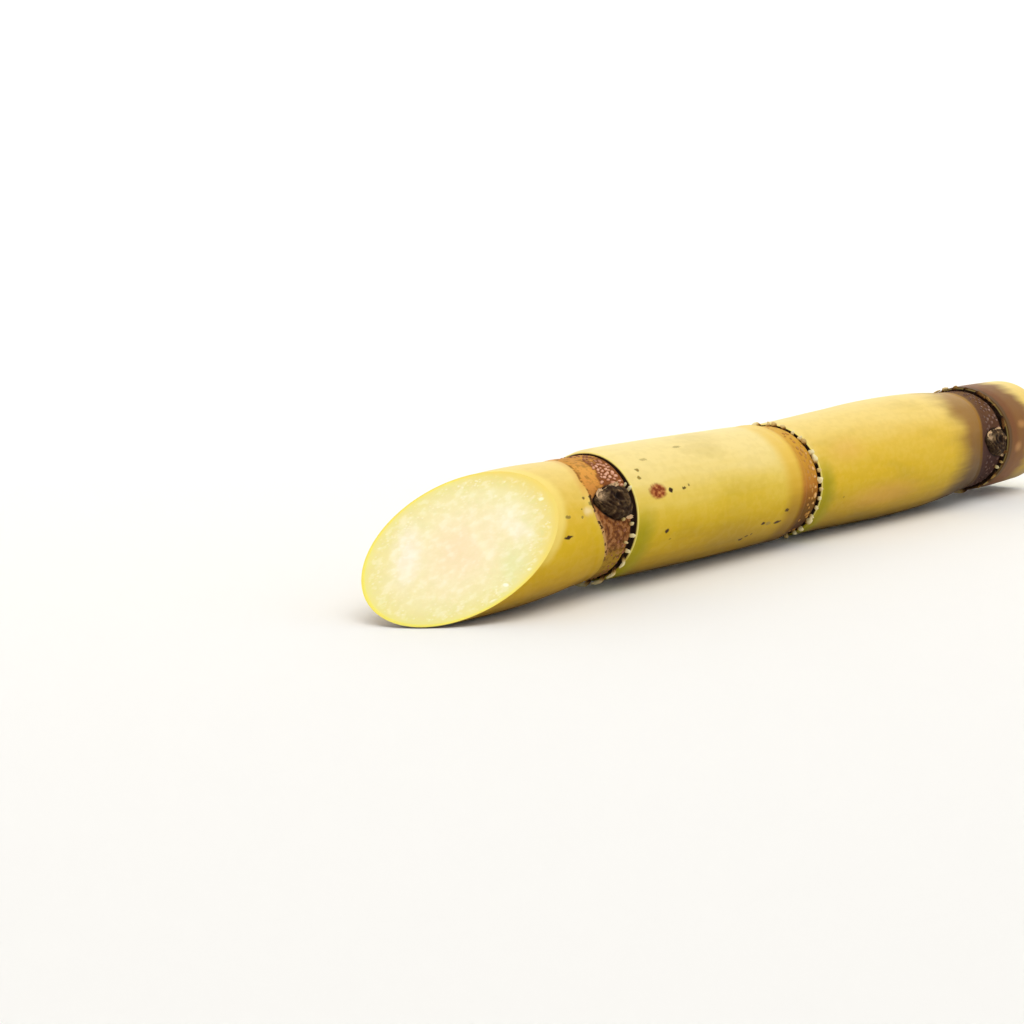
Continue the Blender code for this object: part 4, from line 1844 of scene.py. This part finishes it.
@dataclass
class RootDots:
    """The root dots of one node, each a low dome sunk into the skin.

    jitter holds how far a dot strays from its even place: round the stalk, as a share of the spacing, and
    along it, in millimetres.
    """

    index: int
    dots: DotRows
    sides: int = 10
    bud_gap: float = 1.12
    fade_deg: float = 8.0
    jitter: tuple[float, float] = (0.25, 0.3)
    sizes: tuple[float, float] = (0.7, 1.15)
    tones: tuple[float, float] = (0.7, 1.0)
    # Reach, lift and paleness of each ring of a dome, from inside the skin to its crown.
    rings: tuple[tuple[float, float, float], ...] = (
        (1.0, -0.6, 0.0),
        (1.0, 0.15, 0.2),
        (0.74, 0.75, 0.8),
        (0.3, 1.0, 1.0),
    )

    def build(self) -> bpy.types.Object:
        """Builds the dots and gives them their finish."""
        node, dots = STEM.nodes[self.index], self.dots
        draw = random.Random(40 + self.index)
        shells = Shells()
        low, high = dots.bold
        foot_to_crown = [paleness for _, _, paleness in self.rings]
        for row, (offset, standing_out) in enumerate(dots.rows):
            for count in range(dots.around):
                turn, shift = (draw.uniform(-most, most) for most in self.jitter)
                angle = (count + 0.5 * (row % 2) + turn) * 360.0 / dots.around
                at = offset + shift
                size, tone = draw.uniform(*self.sizes), draw.uniform(*self.tones)
                outside = max(low - turned(angle, 0.0), turned(angle, 0.0) - high, 0.0)
                bold = max(0.0, 1.0 - outside / self.fade_deg)
                missing = draw.random() < dots.thin * (1.0 - bold)
                if missing or self.under_bud(node, at, angle):
                    continue
                strength = standing_out * (dots.quiet + (1.0 - dots.quiet) * bold)
                dome = self.dome(node, at, angle, size * (0.6 + 0.4 * strength), draw)
                numbers = {
                    "tip": np.repeat(foot_to_crown, self.sides),
                    "tone": np.full(len(dome), tone * strength),
                }
                shells.add(dome, loft(len(self.rings), self.sides), **numbers)
        return shells.build(f"root_dots_{self.index + 1}", dots.finish, 80.0)

    def under_bud(self, node: NodeShape, offset: float, angle: float) -> bool:
        """Whether a dot would stand under the bud or against it.

        Args:
            node: The node.
            offset: The dot's distance from the scar.
            angle: Where it stands.

        Returns:
            True where the bud leaves no room for it.
        """
        share = np.array((offset - BUD_OUTLINE.base) / (BUD_OUTLINE.tip - BUD_OUTLINE.base))
        clear = self.bud_gap * BUD_OUTLINE.half_width(share) + 2.0
        away = turned(angle, node.bud_angle) - BUD_OUTLINE.middle(share)
        return bool(abs(away) < clear and share < 1.1)

    def dome(self, node: NodeShape, offset: float, angle: float, size: float, draw: random.Random) -> Points:
        """One low, uneven dome.

        Args:
            node: The node.
            offset: Its distance from the scar.
            angle: Where it stands.
            size: Its size, 1 for a full one.
            draw: The random draw for its outline.

        Returns:
            Its corners: rings from inside the skin to its crown.
        """
        spin = 2.0 * math.pi * np.arange(self.sides) / self.sides
        uneven = np.array([draw.uniform(0.75, 1.2) for _ in spin])
        stretch, turn = draw.uniform(0.65, 1.0), draw.uniform(0.0, math.pi)
        rings = []
        for reach, lift, _ in self.rings:
            wide = self.dots.radius * size * reach * uneven
            long, short = wide * np.cos(spin), wide * np.sin(spin) * stretch
            side = long * math.cos(turn) - short * math.sin(turn)
            forward = long * math.sin(turn) + short * math.cos(turn)
            around = angle + np.degrees(side / node.band)
            along = node.x + offset + forward
            rings.append(STEM.skin(along, node.band + self.dots.rise * size * lift, around))
        return np.concatenate(rings)


@dataclass
class Bud:
    """One bud: a leathery, wrinkled scale with a sunken eye, and torn papery flakes at its edge.

    eye holds how far up the bud its eye lies, from 0 to 1, and how far across, from -1 to 1. flakes holds
    each flake's offset, angle from the bud, length, width and turn.
    """

    index: int
    rise: float = 1.9
    edge: float = 0.35
    rows: int = 60
    columns: int = 60
    eye: tuple[float, float] = (0.34, -0.25)
    eye_depth: float = 1.1
    eye_reach: float = 0.24
    eye_stretch: float = 1.9
    fold_rate: float = 21.0
    wrinkle: float = 0.16
    flakes: tuple[tuple[float, float, float, float, float], ...] = (
        (-5.2, -15.0, 4.6, 1.3, -14.0),
        (-8.4, -12.0, 1.4, 2.4, 20.0),
        (-2.4, 14.0, 1.6, 1.0, 10.0),
    )
    flake_tone: float = 0.7
    flake_rows: int = 10
    flake_columns: int = 6
    flake_thickness: float = 0.16
    flake_lift: float = 0.35

    def build(self) -> bpy.types.Object:
        """Builds the bud and gives it its finish."""
        node = STEM.nodes[self.index]
        share = np.linspace(0.0, 1.0, self.rows)[:, None]
        side = np.linspace(-1.0, 1.0, self.columns)[None]
        station = node.x + BUD_OUTLINE.base + (BUD_OUTLINE.tip - BUD_OUTLINE.base) * share + 0 * side
        ragged = 1.0 + 0.06 * np.sin(17.0 * share + 2.0 * self.index) + 0.04 * np.sin(41.0 * share)
        angle = node.bud_angle + BUD_OUTLINE.middle(share) + side * BUD_OUTLINE.half_width(share) * ragged
        lift, tip, pale = self.relief(share, side, station, angle)
        outer = STEM.skin(station, node.band + lift, angle)
        inner = STEM.skin(station, node.band - 0.3 + 0 * lift, angle)
        rings = np.concatenate([outer, inner[:, ::-1]], axis=1)
        numbers = {
            "tip": np.concatenate([tip, 0.0 * tip], axis=1).ravel(),
            "pale": np.concatenate([pale, 0.0 * pale], axis=1).ravel(),
        }
        shells = Shells()
        shells.add(rings.reshape(-1, 3), loft(self.rows, rings.shape[1]), **numbers)
        draw = random.Random(60 + self.index)
        for flake in self.flakes:
            corners, faces = self.flake(node, flake, draw)
            paleness = np.full(len(corners), draw.uniform(0.8, 1.0))
            shells.add(corners, faces, tip=np.full(len(corners), self.flake_tone), pale=paleness)
        return shells.build(f"bud_detail_{self.index + 1}", BudScale(), 50.0)

    def relief(
        self, share: Points, side: Points, station: Points, angle: Points
    ) -> tuple[Points, Points, Points]:
        """Height, darkness and paleness over the bud.

        Args:
            share: How far from base to tip.
            side: Where across, -1 to 1.
            station: The station of each point.
            angle: The angle of each point.

        Returns:
            The height over the band, the tone from dark to light as painted shade and highlight, and the pale
            margin's cover.
        """
        swell = np.sin(math.pi * (0.3 + 0.66 * share)) ** 0.8
        dome = self.rise * swell * (1.0 - side**4) ** 0.6
        across, along = side - self.eye[1], (share - self.eye[0]) * self.eye_stretch
        away = np.sqrt(across**2 + along**2)
        eye = np.exp(-((away / self.eye_reach) ** 2))
        folds = np.cos(away * self.fold_rate + 1.5 * np.sin(3.0 * np.arctan2(along, across)))
        inside = (1.0 - side**2) * np.clip(away * 3.0, 0.0, 1.0)
        skin = STEM.skin(station, 18.0, angle)
        grain = lumps(skin, 1.5, 7.0 + self.index) + 0.5 * lumps(skin, 0.7, 9.0 + self.index)
        lift = self.edge + dome - self.eye_depth * eye + self.wrinkle * folds * inside + 0.3 * grain * inside
        # The tone is painted light: darker in the sunken eye and the wrinkles' hollows, lighter on their
        # ridges, and a painted highlight in a part ring round the eye.
        collar = np.exp(-(((away - 0.36) / 0.12) ** 2)) * np.clip(-1.5 * across - along + 0.2, 0.0, 1.0)
        tip = 0.42 + 0.16 * folds * inside - 0.6 * eye + 0.35 * grain + 0.45 * collar
        upper_left = np.exp(-(((share - 0.83) / 0.1) ** 2) - ((side + 0.45) / 0.4) ** 2)
        pale = np.clip(0.7 * upper_left, 0.0, 1.0)
        return lift, np.clip(tip, 0.0, 1.0), pale

    def flake(
        self, node: NodeShape, flake: tuple[float, float, float, float, float], draw: random.Random
    ) -> tuple[Points, list[list[int]]]:
        """One papery flake, a thin curled strip.

        Args:
            node: The node.
            flake: Its offset, angle from the bud, length, width and turn.
            draw: The random draw for its curl.

        Returns:
            Its corners and faces.
        """
        offset, away, length, width, turn_deg = flake
        rows, columns = self.flake_rows, self.flake_columns
        u, v = np.meshgrid(np.linspace(-1.0, 1.0, rows), np.linspace(-1.0, 1.0, columns), indexing="ij")
        narrow = 1.0 - 0.55 * np.abs(u) ** 2.5 + 0.12 * np.sin(7.0 * u + draw.uniform(0.0, 6.0))
        x, y = 0.5 * length * u, 0.5 * width * v * narrow
        turn = math.radians(turn_deg)
        along, around = x * math.cos(turn) - y * math.sin(turn), x * math.sin(turn) + y * math.cos(turn)
        angle = node.bud_angle + away + np.degrees(around / node.band)
        curl = 0.45 + 0.3 * v**2 + 0.15 * u * draw.uniform(0.3, 1.0) + 0.1 * np.sin(9.0 * u)
        station = node.x + offset + along
        lifted = node.band + self.flake_lift + curl
        top = STEM.skin(station, lifted, angle).reshape(-1, 3)
        bottom = STEM.skin(station, lifted - self.flake_thickness, angle).reshape(-1, 3)
        count = rows * columns
        faces = []
        for i in range(rows - 1):
            for j in range(columns - 1):
                a, b = i * columns + j, (i + 1) * columns + j
                faces += [[a, a + 1, b + 1, b], [count + a, count + b, count + b + 1, count + a + 1]]
        border = [(i, 0) for i in range(rows)]
        border += [(rows - 1, j) for j in range(1, columns)]
        border += [(i, columns - 1) for i in range(rows - 2, -1, -1)]
        border += [(0, j) for j in range(columns - 2, 0, -1)]
        loop = [i * columns + j for i, j in border]
        for a, b in zip(loop, loop[1:] + loop[:1]):
            faces.append([a, b, count + b, count + a])
        return np.concatenate([top, bottom]), faces


@dataclass
class Studio:
    """A plain pale studio: a paper bowl for floor and backdrop, soft light, and the photograph's camera."""

    floor_radius: float = 1400.0
    wall_bend: float = 900.0
    wall_height: float = 2600.0
    below: float = 0.3
    key_from: tuple[float, float, float] = (-0.45, -0.5, 0.85)
    key_strength: float = 2.65
    key_softness_deg: float = 55.0
    sky_strength: float = 0.66
    camera_at: tuple[float, float, float] = (-459.15, -274.8, 93.05)
    camera_looks: tuple[float, float, float] = (0.7614, 0.6289, -0.1580)
    camera_roll_deg: float = 0.5
    lens_mm: float = 60.0
    sensor_mm: float = 36.0

    def build(self) -> None:
        """Makes the backdrop, the light, the surroundings and the camera."""
        self.bowl()
        self.key_light()
        self.surroundings()
        self.camera()
        bpy.context.scene.view_settings.view_transform = "Standard"

    def bowl(self) -> None:
        """The floor, which bends up into a round backdrop."""
        sides, bend_steps = 96, 12
        profile = [(1.0, 0.0), (self.floor_radius, 0.0)]
        for step in range(1, bend_steps + 1):
            turn = 0.5 * math.pi * step / bend_steps
            wide = self.floor_radius + self.wall_bend * math.sin(turn)
            profile.append((wide, self.wall_bend * (1.0 - math.cos(turn))))
        profile.append((profile[-1][0], self.wall_height))
        spin = 2.0 * math.pi * np.arange(sides) / sides
        rings = [
            np.stack([wide * np.cos(spin), wide * np.sin(spin), np.full(sides, high - self.below)], axis=-1)
            for wide, high in profile
        ]
        faces = loft(len(rings), sides)[:-1]
        mesh = bpy.data.meshes.new("backdrop")
        mesh.from_pydata((np.concatenate(rings) * METRES_PER_MM).tolist(), [], [face[::-1] for face in faces])
        mesh.shade_smooth()
        mesh.materials.append(MattPaper().material())
        bowl = bpy.data.objects.new("backdrop", mesh)
        bpy.context.scene.collection.objects.link(bowl)

    def key_light(self) -> None:
        """One broad soft light from above, on the camera's side of the slanting cut."""
        data = bpy.data.lights.new("key_light", "SUN")
        data.energy = self.key_strength
        data.angle = math.radians(self.key_softness_deg)
        data.color = linear("#fffaf2")[:3]
        lamp = bpy.data.objects.new("key_light", data)
        lamp.rotation_euler = Vector(self.key_from).to_track_quat("Z", "Y").to_euler()
        bpy.context.scene.collection.objects.link(lamp)

    def surroundings(self) -> None:
        """Even pale light from all around."""
        world = bpy.data.worlds.new("pale_room")
        world.use_nodes = True
        background = world.node_tree.nodes["Background"]
        background.inputs["Color"].default_value = linear("#f8f9fb")
        background.inputs["Strength"].default_value = self.sky_strength
        bpy.context.scene.world = world

    def camera(self) -> None:
        """The camera, placed so that the stalk lies in the frame as in the photograph."""
        data = bpy.data.cameras.new("camera")
        data.lens = self.lens_mm
        data.sensor_width = self.sensor_mm
        camera = bpy.data.objects.new("camera", data)
        camera.location = Vector(self.camera_at) * METRES_PER_MM
        aim = Vector(self.camera_looks).to_track_quat("-Z", "Y")
        roll = Euler((0.0, 0.0, math.radians(self.camera_roll_deg))).to_quaternion()
        camera.rotation_euler = (aim @ roll).to_euler()
        bpy.context.scene.collection.objects.link(camera)
        bpy.context.scene.camera = camera


FRINGES = (
    Fringe(
        strands=25,
        length=4.4,
        width=1.15,
        lay=0.9,
        rise=0.45,
        phase=8.0,
        paleness=1.1,
        worn=(-75.0, 112.0),
        beads=(
            (59.0, -0.6, 0.9, 1.2),
            (55.0, -1.3, 0.6, 0.9),
            (101.0, -1.3, 1.0, 1.2),
            (105.0, -3.2, 0.7, 0.75),
            (84.0, -4.0, 0.7, 0.7),
            (89.8, -1.8, 0.8, 0.8),
            (116.0, -1.2, 1.0, 1.0),
        ),
    ),
    Fringe(
        strands=37,
        length=2.5,
        width=1.7,
        lay=-0.5,
        rise=0.2,
        phase=84.7,
        paleness=0.95,
        worn=(236.0, 264.0),
        sizes=(0.62, 1.25),
        tones=(0.66, 1.2),
        lays=(0.3, 2.0),
    ),
    Fringe(
        strands=27,
        length=4.4,
        width=1.2,
        lay=0.95,
        rise=0.1,
        phase=3.0,
        paleness=0.6,
        worn=(66.0, 106.0),
        sizes=(0.5, 1.35),
        tones=(0.5, 1.5),
        lays=(0.5, 1.5),
        beads=(
            (71.0, -0.8, 1.1, 0.8),
            (101.0, -1.0, 1.2, 0.7),
            (118.0, -2.6, 1.0, 1.5),
            (112.0, -1.4, 0.8, 1.1),
        ),
    ),
)
DOT_ROWS = (
    DotRows(
        rows=((-6.0, 0.9), (-5.1, 1.0), (-4.2, 1.0), (-3.3, 1.0), (-2.5, 1.0), (-1.7, 1.0)),
        around=64,
        radius=0.66,
        rise=0.28,
        bold=(24.0, 58.0),
        quiet=0.2,
        thin=0.6,
        finish=RootDot(),
    ),
    DotRows(
        rows=((-6.2, 0.3), (-4.7, 0.45), (-3.2, 1.0)),
        around=40,
        radius=0.92,
        rise=0.33,
        bold=(46.0, 110.0),
        quiet=0.5,
        thin=0.55,
        finish=RootDot(
            name="root_dot_skin_tan", foot_to_crown=((0.0, "#b07a32"), (0.5, "#c48e3c"), (1.0, "#e4b478"))
        ),
    ),
    DotRows(
        rows=((-8.4, 0.7), (-7.0, 0.9), (-5.6, 1.0), (-4.1, 1.0), (-2.8, 1.0)),
        around=40,
        radius=0.75,
        rise=0.3,
        bold=(20.0, 70.0),
        quiet=0.5,
        thin=0.3,
        finish=RootDot(
            name="root_dot_skin_brown", foot_to_crown=((0.0, "#3c241c"), (0.6, "#684838"), (1.0, "#a08070"))
        ),
    ),
)


def main() -> None:
    """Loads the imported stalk, builds its detailed pieces round it, and lights it."""
    logging.basicConfig(level=logging.INFO, format="%(name)s: %(message)s")
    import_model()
    Studio().build()
    cane = Cane().build()
    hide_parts("stalk")
    LOG.info("%s has %d faces", cane.name, len(cane.data.polygons))
    for index, (fringe, dots) in enumerate(zip(FRINGES, DOT_ROWS)):
        collar = LeafCollar(index, fringe).build()
        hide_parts(f"leaf_collar_{index + 1}")
        bud = Bud(index).build()
        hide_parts(f"bud_{index + 1}")
        spots = RootDots(index, dots).build()
        for made in (collar, bud, spots):
            LOG.info("%s has %d faces", made.name, len(made.data.polygons))


if __name__ == "__main__":
    main()
